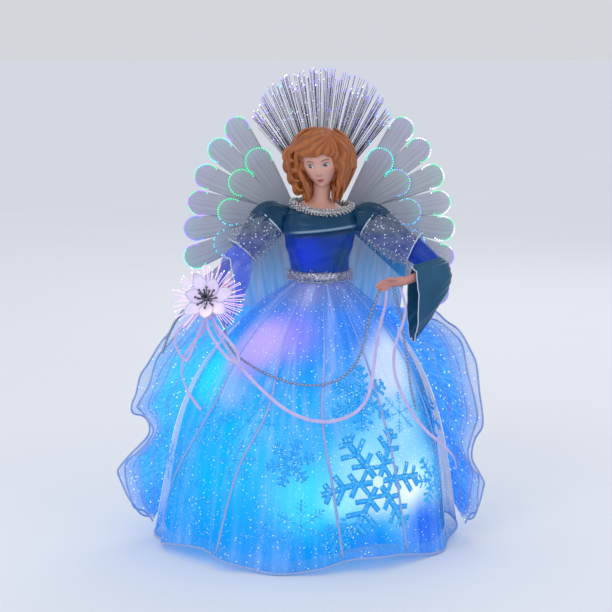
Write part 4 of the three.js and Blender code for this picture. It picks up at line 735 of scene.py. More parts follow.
# Polyester satin: long soft highlights, fine threads, teal above and royal blue where the gown lights it
blueSatin, tree, shader = newMaterial("blueSatin", Roughness=0.25, Specular_IOR_Level=0.2, Sheen_Weight=0.03)
satinRamp = [(0, "#073a8c"), (0.3, "#062ea0"), (0.58, "#08268c"), (0.67, "#06365c"), (0.82, "#052e4a"),
             (1, "#04263c")]
tone = addNode(tree, "ValToRGB", {0: between(tree, 226, 290)}, ramp=satinRamp).outputs[0]
# A painted pool of bright blue light low on the front at the doll's right, and painted shade on the front at
# the doll's left
tone = mixColours(tree, around(tree, (-12, -26, 250), 21, 4), tone, "#0c2cc8")
tone = mixColours(tree, around(tree, (24, -22, 246), 20, 6), tone, "#103a64")
tone = mixColours(tree, grain(tree, 9), tone, "#23587e", 0.3)
# The pressed fold across the bust: a painted highlight on its crest and painted shade just under it
slope = {0: objectPlace(tree), 1: (-0.1, 0, 1)}
slope = addNode(tree, "VectorMath", slope, operation="DOT_PRODUCT").outputs["Value"]
slope = addNode(tree, "MapRange", {0: slope, 1: 0.264, 2: 0.278}).outputs[0]
front = {0: between(tree, -6, -17, axis=1, kind="SMOOTHSTEP"), 1: around(tree, (4, -20, 270), 33, 20)}
front = addNode(tree, "Math", front, operation="MULTIPLY").outputs[0]
for marks, tint in (([(0.1, 0.0), (0.3, 0.8), (0.42, 0.0)], "#0b2348"),
                    ([(0.4, 0.0), (0.52, 0.68), (0.62, 0.0)], "#93acc0")):
    band = addNode(tree, "ValToRGB", {0: slope}, ramp=marks).outputs[0]
    tone = mixColours(tree, band, tone, tint, front)
# The satin glows faintly in its own colour: painted light from the gown
dressShader(tree, shader, tone, tone, 0.22)
addBump(tree, shader, grain(tree, 5, 3, (1, 1, 2.5)), 0.5, 0.4)

bm = bmesh.new()
addGrid(bm, 200, 90, bodicePoint, isRound=True)
bodice = finishPiece("bodiceSatin", bm, blueSatin, "body", ["bodice"], isClosed=True)

# Sleeve drapes: stiff organza that hangs behind each arm, from the armpit and elbow to the gown
drape = {
    "top": [(26, 11, 270), (44, 14, 264), (60, 13, 252), (75, 9, 240)],
    "foot": [(17, 9, 224), (34, 11, 204), (51, 11, 186), (67, 8, 172)], "fold": 1.4, "folds": 7,
}
# Organza in folds: denser than the gown's; its colour is painted light, dark teal above and bright blue
# towards the lit gown, and it glows in that colour
drapeOrganza, tree, shader = newMaterial("drapeOrganza", Roughness=0.5, Specular_IOR_Level=0.08)
drapeRamp = [(0, "#0480e4"), (0.45, "#0484c8"), (0.75, "#04548c"), (1, "#0a3468")]
tone = addNode(tree, "ValToRGB", {0: between(tree, 170, 270)}, ramp=drapeRamp).outputs[0]
lines = clothLines(tree, (16, 1.2, 1), 3.0, 0.5)
streak = addNode(tree, "MapRange", {0: lines, 1: 0.45, 2: 0.7}).outputs[0]
tone = mixColours(tree, streak, tone, "#3fb4e8", 0.28)
veil = addNode(tree, "MapRange", {0: lines, 1: 0.3, 2: 0.7, 3: 0.72, 4: 0.92}).outputs[0]
dressShader(tree, shader, tone, tone, 0.4, veil)

for name, side in (("left", 1), ("right", -1)):
    def drapePoint(u, v, side=side):
        top, foot = Vector(curveAt(drape["top"], u)), Vector(curveAt(drape["foot"], u))
        point = foot.lerp(top, v)
        point.y += drape["fold"] * (1 - 0.5 * v) * math.sin(fullTurn * (drape["folds"] * u + 0.12 * v))
        point.y += 5 * v * (1 - v)
        return Vector((side * point.x, point.y, point.z))
    bm = bmesh.new()
    addGrid(bm, 120, 50, drapePoint)
    piece = finishPiece(name + "SleeveDrape", bm, drapeOrganza, "body", [])

# Collar and waist trim: strung beads and tinsel
print("collar and waist trim")
collar = {
    "aside": 2.4, "halfWidth": 25, "halfDepth": 18.6, "height": 291, "frontDip": 5.0, "tilt": 0.07,
    "radius": 3.0, "beads": 430,
}


def collarLine(angle):
    dip = collar["frontDip"] * clamp(-math.sin(angle)) ** 1.5
    x = collar["halfWidth"] * math.cos(angle)
    height = collar["height"] - dip - collar["tilt"] * x
    return Vector((x + collar["aside"], collar["halfDepth"] * math.sin(angle), height))


random.seed(3)
strands = []
for k in range(collar["beads"]):
    angle = fullTurn * k / collar["beads"]
    turn = k * 2.4
    outward = Vector((math.cos(angle), math.sin(angle), 0))
    away = (outward * math.cos(turn) + upward * math.sin(turn)) * collar["radius"]
    spot = collarLine(angle) + away * random.uniform(0.75, 1)
    size = random.uniform(0.85, 1.3)
    lie = Vector((random.uniform(-1, 1), random.uniform(-1, 1), 1)).normalized()
    strands.append(bead(spot, size, lie))
strands.append([(collarLine(fullTurn * k / 90), 2.2) for k in range(91)])

# Braid of plated seed beads, duller than new because the beads lie at all angles
braidSilver, tree, shader = newMaterial("beadedBraid", Metallic=0.85, Roughness=0.33)
dressShader(tree, shader, mixColours(tree, grain(tree, 1.6, 1), "#6d6a72", "#f2f0f2"))
finishMesh("collarBeads", strandMesh("collarBeads", strands, 1), braidSilver, "body",
           ["collar_braid"])

# Cut foil tinsel: narrow mirror strips standing out round the waist, tinted by the light of the gown
tinselFoil, tree, shader = newMaterial("tinselFoil", Metallic=0.9, Roughness=0.22)
facets = grain(tree, 2.2, 1)
glow = mixColours(tree, facets, "#3c4f90", "#a4b0d8")
dressShader(tree, shader, mixColours(tree, facets, "#777b92", "#ecebf2"), glow, 0.12)


def addTinsel(bm, line, count, length, width, seed):  # short bent foil strips standing off a line
    random.seed(seed)
    for k in range(count):
        centre, out, along = line(k / count)
        lean = Vector([random.gauss(0, 1) for _ in range(3)])
        tip = (out * random.uniform(0.5, 1.2) + along * random.gauss(0, 0.5) + lean * 0.45).normalized()
        reach = length * random.uniform(0.6, 1)
        middle = centre + tip * reach * 0.5 + lean * 0.12 * reach
        path = [centre, middle, centre + tip * reach - upward * 0.1 * reach]
        addSweep(bm, path, width, 0.12, sides=4, facing=lambda point: lean)


waistTrim = {
    "halfWidth": 25.6, "halfDepth": 23.4, "height": 231.6, "zigzag": 3.2, "zigzags": 37,
    "coreInset": 0.7, "coreTall": 7.5, "coreThick": 3, "strips": 900, "stripLength": 4.2, "stripWidth": 0.8,
}


def waistLine(share):
    angle = fullTurn * share
    height = waistTrim["height"] + waistTrim["zigzag"] * math.sin(waistTrim["zigzags"] * angle)
    x, y = math.cos(angle), math.sin(angle)
    centre = Vector((waistTrim["halfWidth"] * x, waistTrim["halfDepth"] * y, height))
    return centre, Vector((x, y, 0)), upward


bm = bmesh.new()
addTinsel(bm, waistLine, waistTrim["strips"], waistTrim["stripLength"], waistTrim["stripWidth"], seed=5)
coreHalfWidth = waistTrim["halfWidth"] - waistTrim["coreInset"]
coreHalfDepth = waistTrim["halfDepth"] - waistTrim["coreInset"]
coreLine = [Vector((coreHalfWidth * math.cos(a), coreHalfDepth * math.sin(a), waistTrim["height"]))
            for a in (fullTurn * k / 60 for k in range(61))]
addSweep(bm, coreLine, waistTrim["coreTall"], waistTrim["coreThick"], sides=8)
finishPiece("waistTinsel", bm, tinselFoil, "body", ["waist_trim"])

# Arms: puffed satin, glitter tulle with tinsel, and wide bell cuffs
print("sleeves")
shoulder = {"x": 33.7, "z": 279, "arm": 100}  # the shoulder's place and the arm's length in millimetres
sleeves = {
    "left": {
        "side": 1, "flats": {"satin": (0.075, 0.075), "tulle": (0.1, 0.05), "cuff": (0.12, 0.036)},
        "satin": [(-0.035, 0, 0, 0.07, 0.07), (-0.01, 0, 0.005, 0.115, 0.11),
                  (0.12, -0.01, -0.02, 0.145, 0.13), (0.3, -0.05, -0.15, 0.117, 0.112),
                  (0.46, -0.11, -0.25, 0.102, 0.097), (0.6, -0.19, -0.36, 0.092, 0.09),
                  (0.665, -0.24, -0.43, 0.085, 0.08)],
        "tulle": [(0.1, 0, -0.03, 0.143, 0.139), (0.2, -0.03, -0.1, 0.162, 0.152),
                  (0.34, -0.06, -0.19, 0.167, 0.152), (0.47, -0.1, -0.25, 0.152, 0.142)],
        "cuff": [(0.67, -0.2, -0.415, 0.115, 0.09), (0.67, -0.25, -0.48, 0.17, 0.1),
                 (0.59, -0.31, -0.565, 0.235, 0.102), (0.44, -0.385, -0.68, 0.31, 0.096)],
    },
    "right": {
        "side": -1, "flats": {"satin": (0.07, 0.06), "tulle": (0.09, 0.042), "cuff": (0.12, 0.03)},
        "satin": [(-0.035, 0, 0, 0.07, 0.07), (-0.01, 0, 0.01, 0.12, 0.11),
                  (0.1, -0.01, -0.01, 0.148, 0.13), (0.21, -0.04, -0.12, 0.117, 0.112),
                  (0.29, -0.1, -0.24, 0.097, 0.097), (0.34, -0.16, -0.36, 0.078, 0.078)],
        "tulle": [(0.09, 0, -0.02, 0.143, 0.139), (0.17, -0.02, -0.1, 0.162, 0.152),
                  (0.25, -0.05, -0.19, 0.167, 0.147), (0.32, -0.08, -0.27, 0.147, 0.137)],
        "cuff": [(0.29, -0.11, -0.35, 0.09, 0.07), (0.32, -0.15, -0.4, 0.187, 0.098),
                 (0.38, -0.23, -0.48, 0.253, 0.102), (0.45, -0.31, -0.58, 0.3, 0.098)],
    },
}


def armStations(side, rows):  # shares of the arm's length turned into millimetres in the row frame
    arm = shoulder["arm"]
    return [(side * (shoulder["x"] + x * arm), y * arm, shoulder["z"] + z * arm, *(arm * r for r in rest))
            for x, y, z, *rest in rows]


def sleevePoint(rings, fold, count, phase):
    def place(u, v):
        centre, tall, wide = rings[min(round(v * (len(rings) - 1)), len(rings) - 1)]
        angle = fullTurn * u
        lift = 1 + fold * math.sin(count * angle + phase + 3 * v) * (0.3 + 0.7 * v)
        lift += 0.5 * fold * math.sin((2 * count + 1) * angle + 5 * v)
        return centre + tall * math.cos(angle) * lift + wide * math.sin(angle) * lift
    return place


# Glitter tulle: open net, nearly clear, with bright specks and foil threads; it glows faintly in its own
# colour, painted light from the gown
glitterTulle, tree, shader = newMaterial("glitterTulle", Roughness=0.45, Sheen_Weight=0.3)
specks = makeGlitter(tree, 2.4, 0.7, 0.6)
tone = mixColours(tree, specks, mixColours(tree, grain(tree, 8), "#5f6a86", "#b2b8ca"), "#f4f6ff")
net = addNode(tree, "MapRange", {0: grain(tree, 5), 1: 0.35, 2: 0.7, 3: 0.2, 4: 0.42}).outputs[0]
net = addNode(tree, "Math", {0: net, 1: specks}, operation="MAXIMUM").outputs[0]
dressShader(tree, shader, tone, tone, 0.12, net)

# Cuff satin of the bare arm: dark teal, bluer at its lower edge where the gown lights it
cuffCloth, tree, shader = newMaterial("cuffSatin", Roughness=0.28, Specular_IOR_Level=0.2, Sheen_Weight=0.05)
cuffRamp = [(0, "#123f70"), (0.4, "#143a58"), (0.75, "#183c52"), (1, "#204458")]
tone = addNode(tree, "ValToRGB", {0: between(tree, 180, 255)}, ramp=cuffRamp).outputs[0]
tone = mixColours(tree, grain(tree, 11, 2, (1, 1, 0.4)), tone, "#1f5274")
# The satin glows faintly in its own colour: painted light from the gown
dressShader(tree, shader, tone, tone, 0.25)

# Corded piping covered in white satin
pipingCord, tree, shader = newMaterial("whitePiping", Roughness=0.4, Sheen_Weight=0.3)
dressShader(tree, shader, mixColours(tree, grain(tree, 1.5), "#a9b4cc", "#e4e8f2"))

# The flower arm's cuff is bare organza, violet-blue where the gown lights it
cuffOrganza, tree, shader = newMaterial("cuffOrganza", Roughness=0.42, Specular_IOR_Level=0.2)
tone = mixColours(tree, grain(tree, 14, 2, (1, 1, 0.35)), "#2f46cc", "#6f86dc")
tone = mixColours(tree, makeGlitter(tree, 3.0, 0.6, 0.4), tone, "#dfe8ff")
# The organza glows faintly in its own colour: painted light from the gown
dressShader(tree, shader, tone, tone, 0.25, 0.72)

for name, sleeve in sleeves.items():
    armBody, side = name + "_arm", sleeve["side"]
    satinRings = limbRows(armStations(side, sleeve["satin"]), rows=60)
    tulleRings = limbRows(armStations(side, sleeve["tulle"]), rows=50)
    cuffRings = limbRows(armStations(side, sleeve["cuff"]), isUpright=True, rows=50)
    bm = bmesh.new()
    addGrid(bm, 90, 59, sleevePoint(satinRings, 0.035, 9, 0.4), isRound=True)
    piece = finishPiece(name + "SleeveSatin", bm, blueSatin, armBody, [name + "_sleeve"])
    bm = bmesh.new()
    tullePlace = sleevePoint(tulleRings, 0.03, 7, 1.0)
    addGrid(bm, 90, 49, tullePlace, isRound=True)
    piece = finishPiece(name + "Tulle", bm, glitterTulle, armBody, [name + "_oversleeve"])
    bm = bmesh.new()
    cuffPlace = sleevePoint(cuffRings, 0.05, 8, 0.7)
    addGrid(bm, 120, 49, cuffPlace, isRound=True)
    cloth = cuffCloth if name == "left" else cuffOrganza
    piece = finishPiece(name + "Cuff", bm, cloth, armBody, [name + "_cuff"])
    bm = bmesh.new()
    # Piping runs round the cuff's edge and top, and round both ends of the tulle
    rims = ((1.0, 0.9, cuffPlace), (0.02, 0.8, cuffPlace), (0.0, 1.3, tullePlace), (1.0, 1.1, tullePlace))
    for v, width, place in rims:
        rim = [place(k / 80, v) for k in range(81)]
        addSweep(bm, rim, width, sides=6, facing=lambda point: Vector((0.3, -1, 0.2)))
    finishPiece(name + "Piping", bm, pipingCord, armBody, isClosed=True)

    def tulleLine(share, rings=tulleRings):
        centre, tall, wide = rings[int(share * 997) % len(rings)]
        angle = share * 61.8 * fullTurn
        out = tall * math.cos(angle) + wide * math.sin(angle)
        return centre + out, out.normalized(), tall.normalized()

    bm = bmesh.new()
    addTinsel(bm, tulleLine, count=260, length=3.4, width=0.55, seed=11)
    finishPiece(name + "TulleTinsel", bm, tinselFoil, armBody)

# Hands: moulded vinyl, fingers closed round the cords and the stem
print("hands")
hands = {
    "left": {"side": 1, "lines": [
        ([(0.5, -0.34, -0.438), (0.43, -0.384, -0.459), (0.36, -0.425, -0.476),
          (0.3, -0.44, -0.48)], 7.6, 7.6),
        ([(0.374, -0.42, -0.476), (0.31, -0.435, -0.478), (0.24, -0.46, -0.49)], 5.6, 8.6),
        ([(0.25, -0.455, -0.462), (0.19, -0.475, -0.468), (0.13, -0.495, -0.49)], 2.5, 2.7),
        ([(0.25, -0.46, -0.482), (0.18, -0.485, -0.49), (0.115, -0.505, -0.512)], 2.5, 2.7),
        ([(0.25, -0.462, -0.502), (0.19, -0.486, -0.514), (0.13, -0.502, -0.535)], 2.4, 2.6),
        ([(0.25, -0.462, -0.522), (0.2, -0.48, -0.535), (0.155, -0.495, -0.55)], 2.2, 2.4),
        ([(0.3, -0.46, -0.46), (0.25, -0.495, -0.445), (0.21, -0.512, -0.445)], 2.8, 3.0)]},
    "right": {"side": -1, "lines": [
        ([(0.44, -0.305, -0.515), (0.475, -0.35, -0.575), (0.51, -0.395, -0.62)], 7.6, 7.6),
        ([(0.488, -0.369, -0.596), (0.515, -0.405, -0.625), (0.54, -0.445, -0.645)], 6.0, 8.6),
        ([(0.56, -0.44, -0.622), (0.592, -0.475, -0.62), (0.585, -0.515, -0.626),
          (0.55, -0.525, -0.632)], 2.6, 2.8),
        ([(0.565, -0.445, -0.645), (0.598, -0.48, -0.644), (0.59, -0.52, -0.65),
          (0.552, -0.53, -0.655)], 2.6, 2.8),
        ([(0.56, -0.45, -0.668), (0.59, -0.48, -0.668), (0.582, -0.518, -0.674),
          (0.546, -0.525, -0.677)], 2.5, 2.7),
        ([(0.51, -0.41, -0.612), (0.505, -0.455, -0.6), (0.518, -0.49, -0.604),
          (0.535, -0.515, -0.618)], 2.7, 2.9)]},
}

# Painted vinyl: even skin colour with a low satin shine and slightly redder hollows
vinylDepth = {"Subsurface_Weight": 0.12, "Subsurface_Scale": 0.002}
paintedSkin, tree, shader = newMaterial("paintedVinyl", Roughness=0.42, **vinylDepth)
shader.inputs["Subsurface Radius"].default_value = (1.0, 0.35, 0.2)
dressShader(tree, shader, addNode(tree, "Attribute", attribute_name="tint").outputs["Color"])

# The same vinyl on the hands, a little redder and not painted
handSkin, tree, shader = newMaterial("handVinyl", Roughness=0.44, **vinylDepth)
dressShader(tree, shader, mixColours(tree, grain(tree, 6), "#b87c76", "#cf9488"))


def fingerSwell(share):  # round at both ends and a little slimmer towards the tip
    return math.sqrt(max(0.05, 1 - (2 * share - 1) ** 6)) * mix(1.05, 0.85, share)


for name, hand in hands.items():
    bm = bmesh.new()
    for line, wide, tall in hand["lines"]:
        points = smoothPath([row[:3] for row in armStations(hand["side"], line)], 0.6)
        addSweep(bm, points, lambda share: tall * fingerSwell(share), lambda share: wide * fingerSwell(share),
                 sides=14)
    bm = voxelJoin(bm, 0.35, 4, name + "HandSkin")
    finishPiece(name + "HandSkin", bm, handSkin, name + "_arm", [name + "_hand"])

# Head: a moulded doll's head, with the face painted on
print("head")
face = {
    "centre": (0.6, -6, 331.3), "half": (16, 18.5, 22.5), "lowerHalf": 25.6,
    "yaw": -10, "roll": -7, "pitch": 8,  # degrees
    "eyeAside": 6.4, "eyeHeight": -3.6, "eyeHalf": (2.8, 1.35), "iris": 1.5, "pupil": 0.75, "neckRadius": 7.6,
    "skin": "#d6a494", "blush": "#cb7c72", "lip": "#b0585e", "white": "#cfccd8", "irisColour": "#152552",
    "line": "#3c2218", "brow": "#6e4426",
}
yaw, roll, pitch = (Matrix.Rotation(math.radians(face[turn]), 3, axis)
                    for turn, axis in (("yaw", "Z"), ("roll", "Y"), ("pitch", "X")))
headTurn = yaw @ roll @ pitch
headCentre = Vector(face["centre"])


def faceRelief(x, z):  # how far the moulding stands out of the plain egg at the front
    side = abs(x)
    relief = -1.9 * hill(side, face["eyeAside"], 3.6) * hill(z, face["eyeHeight"] + 0.2, 2.7)
    relief += 1.25 * hill(side, face["eyeAside"], 2.3) * hill(z, face["eyeHeight"], 1.6)
    relief += 0.5 * hill(side, face["eyeAside"], 3.4) * hill(z, face["eyeHeight"] + 3.6, 1.3)
    relief += 1.5 * hill(x, 0, 1.5) * ease(-z, 0.5, 8) * (1 - ease(-z, 10.2, 11.6))
    relief += 2.4 * hill(x, 0, 1.8) * hill(z, -9.6, 1.7) + 0.9 * hill(side, 1.9, 0.9) * hill(z, -10.3, 0.9)
    relief += 0.9 * hill(x, 0, 2.5) * hill(z, -14.5, 0.8) + 1.1 * hill(x, 0, 2.0) * hill(z, -16.4, 0.9)
    relief -= 0.7 * hill(x, 0, 2.8) * hill(z, -15.4, 0.3) + 0.3 * hill(x, 0, 0.7) * hill(z, -12.8, 1.0)
    relief += 1.7 * hill(x, 0, 3.8) * hill(z, -20.2, 2.6) - 0.5 * hill(x, 0, 3.0) * hill(z, -18.2, 0.8)
    return relief + 1.1 * hill(side, 8.6, 4.0) * hill(z, -10.5, 5)


def headPoint(u, v):
    turnAt = u + 0.09 * math.sin(fullTurn * u) - 0.25  # more columns at the front, which is at -Y
    angle, polar = fullTurn * turnAt, math.pi * v
    jaw = 1 - 0.27 * ease(v, 0.52, 0.9)
    halfWidth, halfDepth, upperHalf = face["half"]
    halfHeight = upperHalf if polar < math.pi / 2 else face["lowerHalf"]
    at = Vector((halfWidth * math.sin(polar) * math.cos(angle) * jaw,
                 halfDepth * math.sin(polar) * math.sin(angle),
                 halfHeight * math.cos(polar)))
    front = ease(-at.y, 3, 11)
    at.y -= 2.4 * front * ease(v, 0.62, 0.9) * math.sin(polar) ** 0.3
    at.y -= faceRelief(at.x, at.z * 0.93) * front
    return headCentre + headTurn @ at


def isInAlmond(x, z, grow=0.0):
    aside = abs(x) - face["eyeAside"]
    halfWide, halfTall = face["eyeHalf"][0] + grow, face["eyeHalf"][1] + grow
    rise = z - face["eyeHeight"] - 0.12 * aside
    tall = halfTall * (1.0 if rise > 0 else 0.75)
    return (aside / halfWide) ** 2 + (rise / tall) ** 2


def facePaint(at):  # colour by place in the head's own upright frame
    x, z = at.x, at.z * 0.93
    colour = hexColour(face["skin"])
    if at.y > -6:
        return colour
    blush = 0.45 * hill(abs(x), 9.2, 3.6) * hill(z, -9.5, 3.4) + 0.18 * hill(x, 0, 2) * hill(z, -9.6, 1.6)
    shade = 0.5 * hill(abs(x), face["eyeAside"], 3.6) * hill(z, face["eyeHeight"] + 2.4, 1.1)
    layers = [(face["blush"], blush), ("#b97f74", shade)]
    lipTop = -13.9 - 0.45 * hill(x, 0, 0.6) - 0.15 * x * x
    lipLow = -17.0 + 0.18 * x * x
    isMouth = ease(lipTop - z, -0.25, 0.25) * ease(z - lipLow, -0.25, 0.25) * (abs(x) < 3.1)
    layers.append((face["lip"], isMouth))
    layers.append(("#7a3038", 0.8 * hill(z, -15.4 + 0.03 * x * x, 0.22) * (abs(x) < 3.2)))
    eyeCentre = math.copysign(face["eyeAside"], x) - 0.35
    fromIris = math.hypot(x - eyeCentre, z - face["eyeHeight"] + 0.05)
    almond = isInAlmond(x, z)
    lashes = ease(1.0 - isInAlmond(x, z, 0.42), -0.1, 0.15) * (0.95 if z > face["eyeHeight"] else 0.4)
    layers.append((face["line"], lashes))
    if almond < 1.05:
        layers.append((face["white"], ease(1.05 - almond, 0, 0.2)))
        layers.append((face["irisColour"], ease(face["iris"] - fromIris, -0.1, 0.15)))
        layers.append(("#05070d", ease(face["pupil"] - fromIris, -0.1, 0.1)))
        fromGlint = math.hypot(x - eyeCentre - 0.45, z - face["eyeHeight"] - 0.5)
        layers.append(("#ffffff", ease(0.32 - fromGlint, -0.08, 0.08)))
        layers.append((face["line"], 0.6 * ease(z - face["eyeHeight"], 0.9, 1.4)))
    aside = abs(x) - face["eyeAside"]
    browLine = face["eyeHeight"] + 4.4 - 0.07 * (aside - 0.6) ** 2
    layers.append((face["brow"], 0.95 * hill(z, browLine, 0.5) * ease(3.9 - abs(aside), 0, 1.2)))
    for tone, share in layers:
        share = clamp(share)
        if share > 0:
            colour = tuple(mix(a, b, share) for a, b in zip(colour, hexColour(tone)))
    return colour


bm = bmesh.new()
addGrid(bm, 260, 190, headPoint, isRound=True)


def neckWidth(share):
    return 2 * (face["neckRadius"] + 11.5 * (1 - ease(share, 0, 0.42)) ** 2)


neckPlaces = [(0.5, 0, 288.6), (0.8, -0.3, 292), (1.6, -1.5, 300), (2, -2.5, 308), (2, -3, 318)]
neckLine = smoothPath(neckPlaces, 0.7)
addSweep(bm, neckLine, neckWidth, lambda share: 0.86 * neckWidth(share), sides=80,
         facing=lambda point: Vector((0, -1, 0)))
paint = bm.verts.layers.float_color.new("tint")
for vert in bm.verts:
    local = headTurn.inverted() @ (vert.co - headCentre)
    isFace = (local.x / 17) ** 2 + (local.y / 22) ** 2 + (local.z / 26.5) ** 2 < 1.2 and local.z > -24
    vert[paint] = facePaint(local) if isFace else hexColour(face["skin"])
finishPiece("headSkin", bm, paintedSkin, "body", ["head"], isClosed=True)

# Hair: one moulded piece of swept locks
print("hair")
hair = {
    "centre": (2, -2.4, 332.6), "half": (23.6, 22.2, 23.8), "voxel": 0.62,
    "colour": "#b8692f", "shade": "#8a4a20",
    "slim": [[0.94], [0.94], [0.95], [0.97], [0.93], [0.88], [0.86]],  # width shares, neck to crown
}
hairCentre = Vector(hair["centre"])


def capPoint(u, v):
    angle, polar = fullTurn * u, math.pi * v * 0.86
    way = Vector((math.sin(polar) * math.cos(angle), math.sin(polar) * math.sin(angle), math.cos(polar)))
    at = hairCentre + Vector([w * h for w, h in zip(way, hair["half"])])
    local = headTurn.inverted() @ (at - headCentre)
    opening = ease(-local.y, 3, 8) * ease(7.5 - local.z, 0, 4) * ease(15.5 - abs(local.x), 0, 3)
    return at + (headCentre - at) * 0.42 * opening


locks = [  # places along the middle of each lock in millimetres, then its width and thickness
    ([(9, -14, 352), (4, -20, 347.5), (-2, -23.6, 342), (-8, -24, 338), (-14.5, -20.5, 335.5),
      (-19, -15, 333.5)], 9, 4.5),
    ([(10, -17, 349), (7, -22, 344), (2, -25, 339.5), (-4, -25.4, 336.3), (-10, -23, 334.8),
      (-15, -19, 333)], 7.5, 3.8),
    ([(9, -17, 349.5), (12, -21, 344), (12.5, -22.5, 339), (14.5, -20, 333.5), (17, -16.5, 326),
      (17, -14.5, 316)], 8, 5),
    ([(9, -18, 348), (8, -23, 342.5), (6, -25, 338), (8, -24.4, 335.8), (12, -22, 333)], 7, 3.6),
    ([(12, -14, 351), (20, -15, 343), (22.5, -14, 333), (19.5, -14.5, 322), (17.5, -14.5, 311),
      (16, -13.5, 301), (15.5, -13, 293.5)], 9, 6),
    ([(12, -9, 354), (22, -9, 346), (27, -8, 334), (25, -8.5, 322), (22.5, -9, 311), (20, -9.5, 301),
      (18, -10, 294.5)], 9, 6),
    ([(26, -8, 332), (28, -7, 326.5), (31, -6, 322.5), (32.5, -5, 325)], 6, 4),
    ([(13, -3, 356), (23, -2, 349), (29.5, -1, 336), (29.5, 0, 323), (26, 0, 311), (22, 0, 300)], 9, 6),
    ([(-6, -10, 354.5), (-15, -13, 349), (-22, -12, 342), (-27, -8, 334.5), (-25.5, -9.5, 329.5),
      (-20, -13, 329.5)], 8.5, 5),
    ([(-24, -9, 333), (-26.8, -8, 326), (-24.5, -9.5, 320.5), (-19, -13, 321.5)], 8, 5),
    ([(-22, -8, 325), (-25.5, -7, 317.5), (-22.5, -9, 311.5), (-17, -12, 312.5)], 8, 5),
    ([(-20, -8, 316), (-21, -8, 308.5), (-17.5, -10, 303.5), (-13.5, -12, 305)], 7, 4.5),
    ([(-18.5, -11, 328), (-17.5, -13, 319), (-13.5, -15, 311.5), (-11, -15, 304), (-10, -14, 297),
      (-9.5, -13, 292.5)], 7, 5),
    ([(-5, -14, 352), (-13, -18.5, 346), (-19, -17, 339.5), (-21, -15, 333), (-19.5, -15, 327),
      (-18, -15, 323)], 7, 4.5),
    ([(-4, -3, 356.5), (-16, -3, 352.5), (-24, -1, 343), (-28, 2, 332), (-26, 3, 319), (-22, 3, 307),
      (-18, 2, 298)], 9, 6),
    ([(3, -12, 354), (-3, -19, 349), (-8, -22.6, 343.5), (-12, -22.5, 339)], 9, 4.5),
    ([(-16, -6, 344), (-20, -6, 330), (-20, -5, 317), (-17, -6, 305)], 12, 8),
    ([(-9.5, -2, 320), (-9, -3, 306), (-9, -4, 292.5)], 9, 6),
    ([(13, -2, 320), (13, -3, 306), (13, -4, 292.5)], 9, 6),
    ([(19, -2, 316), (18, -2, 305), (17, -3, 295)], 9, 6),
    ([(-26, -4, 341), (-30, -3, 335), (-29.5, -4, 330), (-25, -6, 328)], 9, 7),
    ([(-25, -3, 331), (-29, -2, 325), (-28, -3, 320), (-23, -5, 318)], 9, 7),
    ([(-22, -3, 322), (-26, -2, 315), (-24.5, -3, 310), (-20, -5, 309)], 9, 7),
    ([(-19, -3, 313), (-21.5, -2, 306), (-20, -3, 301), (-16, -4, 300)], 9, 7),
    ([(-16, -3, 310), (-13, -5, 300), (-12, -6, 292)], 9, 6),
    ([(22, -3, 318), (19, -4, 304), (18, -5, 293)], 10, 7),
    ([(14, -8, 312), (13, -9, 302), (13, -9, 292)], 8, 5),
    ([(-2, -19, 347), (-9, -20.5, 343), (-15, -18.5, 338), (-20, -13, 334)], 9, 6),
    ([(-22, -5, 347), (-25, -4.5, 338), (-24.5, -4, 328), (-21, -4, 318)], 11, 8),
    ([(-18, -6, 338), (-19, -7, 326), (-17, -8, 314)], 12, 8),
]
for k in range(13):  # the back, falling from the crown and turning up at its ends
    angle = math.radians(8 + 164 * k / 12)
    out = Vector((math.cos(angle), math.sin(angle), 0))
    flare = 1.0 if k % 2 else 0.86
    fall = ((4, 22), (16, 17), (22.5, 4), (22, -10), (19.5, -22), (17.5 * flare, -31), (21 * flare, -36.5))
    locks.append(([hairCentre + out * r * 0.95 + upward * z for r, z in fall], 9.5, 5.5))


def lockSwell(share):  # thin at the root, full along its length, rounded off at the tip
    return (0.3 + 0.7 * ease(share, 0, 0.3)) * math.sqrt(max(0.012, 1 - ease(share, 0.55, 1.02)))


bm = bmesh.new()
addGrid(bm, 72, 48, capPoint, isRound=True)
bmesh.ops.holes_fill(bm, edges=bm.edges, sides=0)
for points, width, thickness in locks:
    addSweep(bm, smoothPath(points, 0.9), lambda share: width * lockSwell(share),
             lambda share: thickness * lockSwell(share), sides=14, facing=lambda point: point - hairCentre)
bm = voxelJoin(bm, hair["voxel"], 3, "hairMoulded")
grooves = bm.verts.layers.float.new("groove")
bm.normal_update()
for vert in bm.verts:
    away = vert.co - hairCentre
    swirl = math.atan2(away.y, away.x) * 13 + 0.12 * away.z + 2.6 * noise.noise(vert.co * 0.055)
    isFringe = ease(-away.y, 4, 12) * ease(vert.co.z, 328, 336)
    swirl = mix(swirl, math.atan2(vert.co.z - 354, vert.co.x - 11) * 10, isFringe)
    vert[grooves] = math.sin(swirl * 2.2 + 4 * noise.noise(vert.co * 0.09))
    vert.co += vert.normal * 0.16 * vert[grooves]
    slim = curveAt(hair["slim"], (vert.co.z - 290) / 70)[0]
    vert.co.x = hairCentre.x + away.x * slim

# Moulded vinyl hair, orange-brown, with painted shade down in the grooves between the strands
mouldedHair, tree, shader = newMaterial("mouldedHair", Roughness=0.42)
depth = addNode(tree, "Attribute", attribute_name="groove").outputs["Fac"]
share = addNode(tree, "MapRange", {0: depth, 1: -1.0, 2: 0.7}).outputs[0]
tone = mixColours(tree, grain(tree, 26, 1), "#a5551f", hair["colour"])
dressShader(tree, shader, mixColours(tree, share, hair["shade"], tone))
addBump(tree, shader, grain(tree, 1.6, 2, (1, 1, 0.25)), 0.25, 0.5)
finishPiece("hairMoulded", bm, mouldedHair, "body", ["hair"])

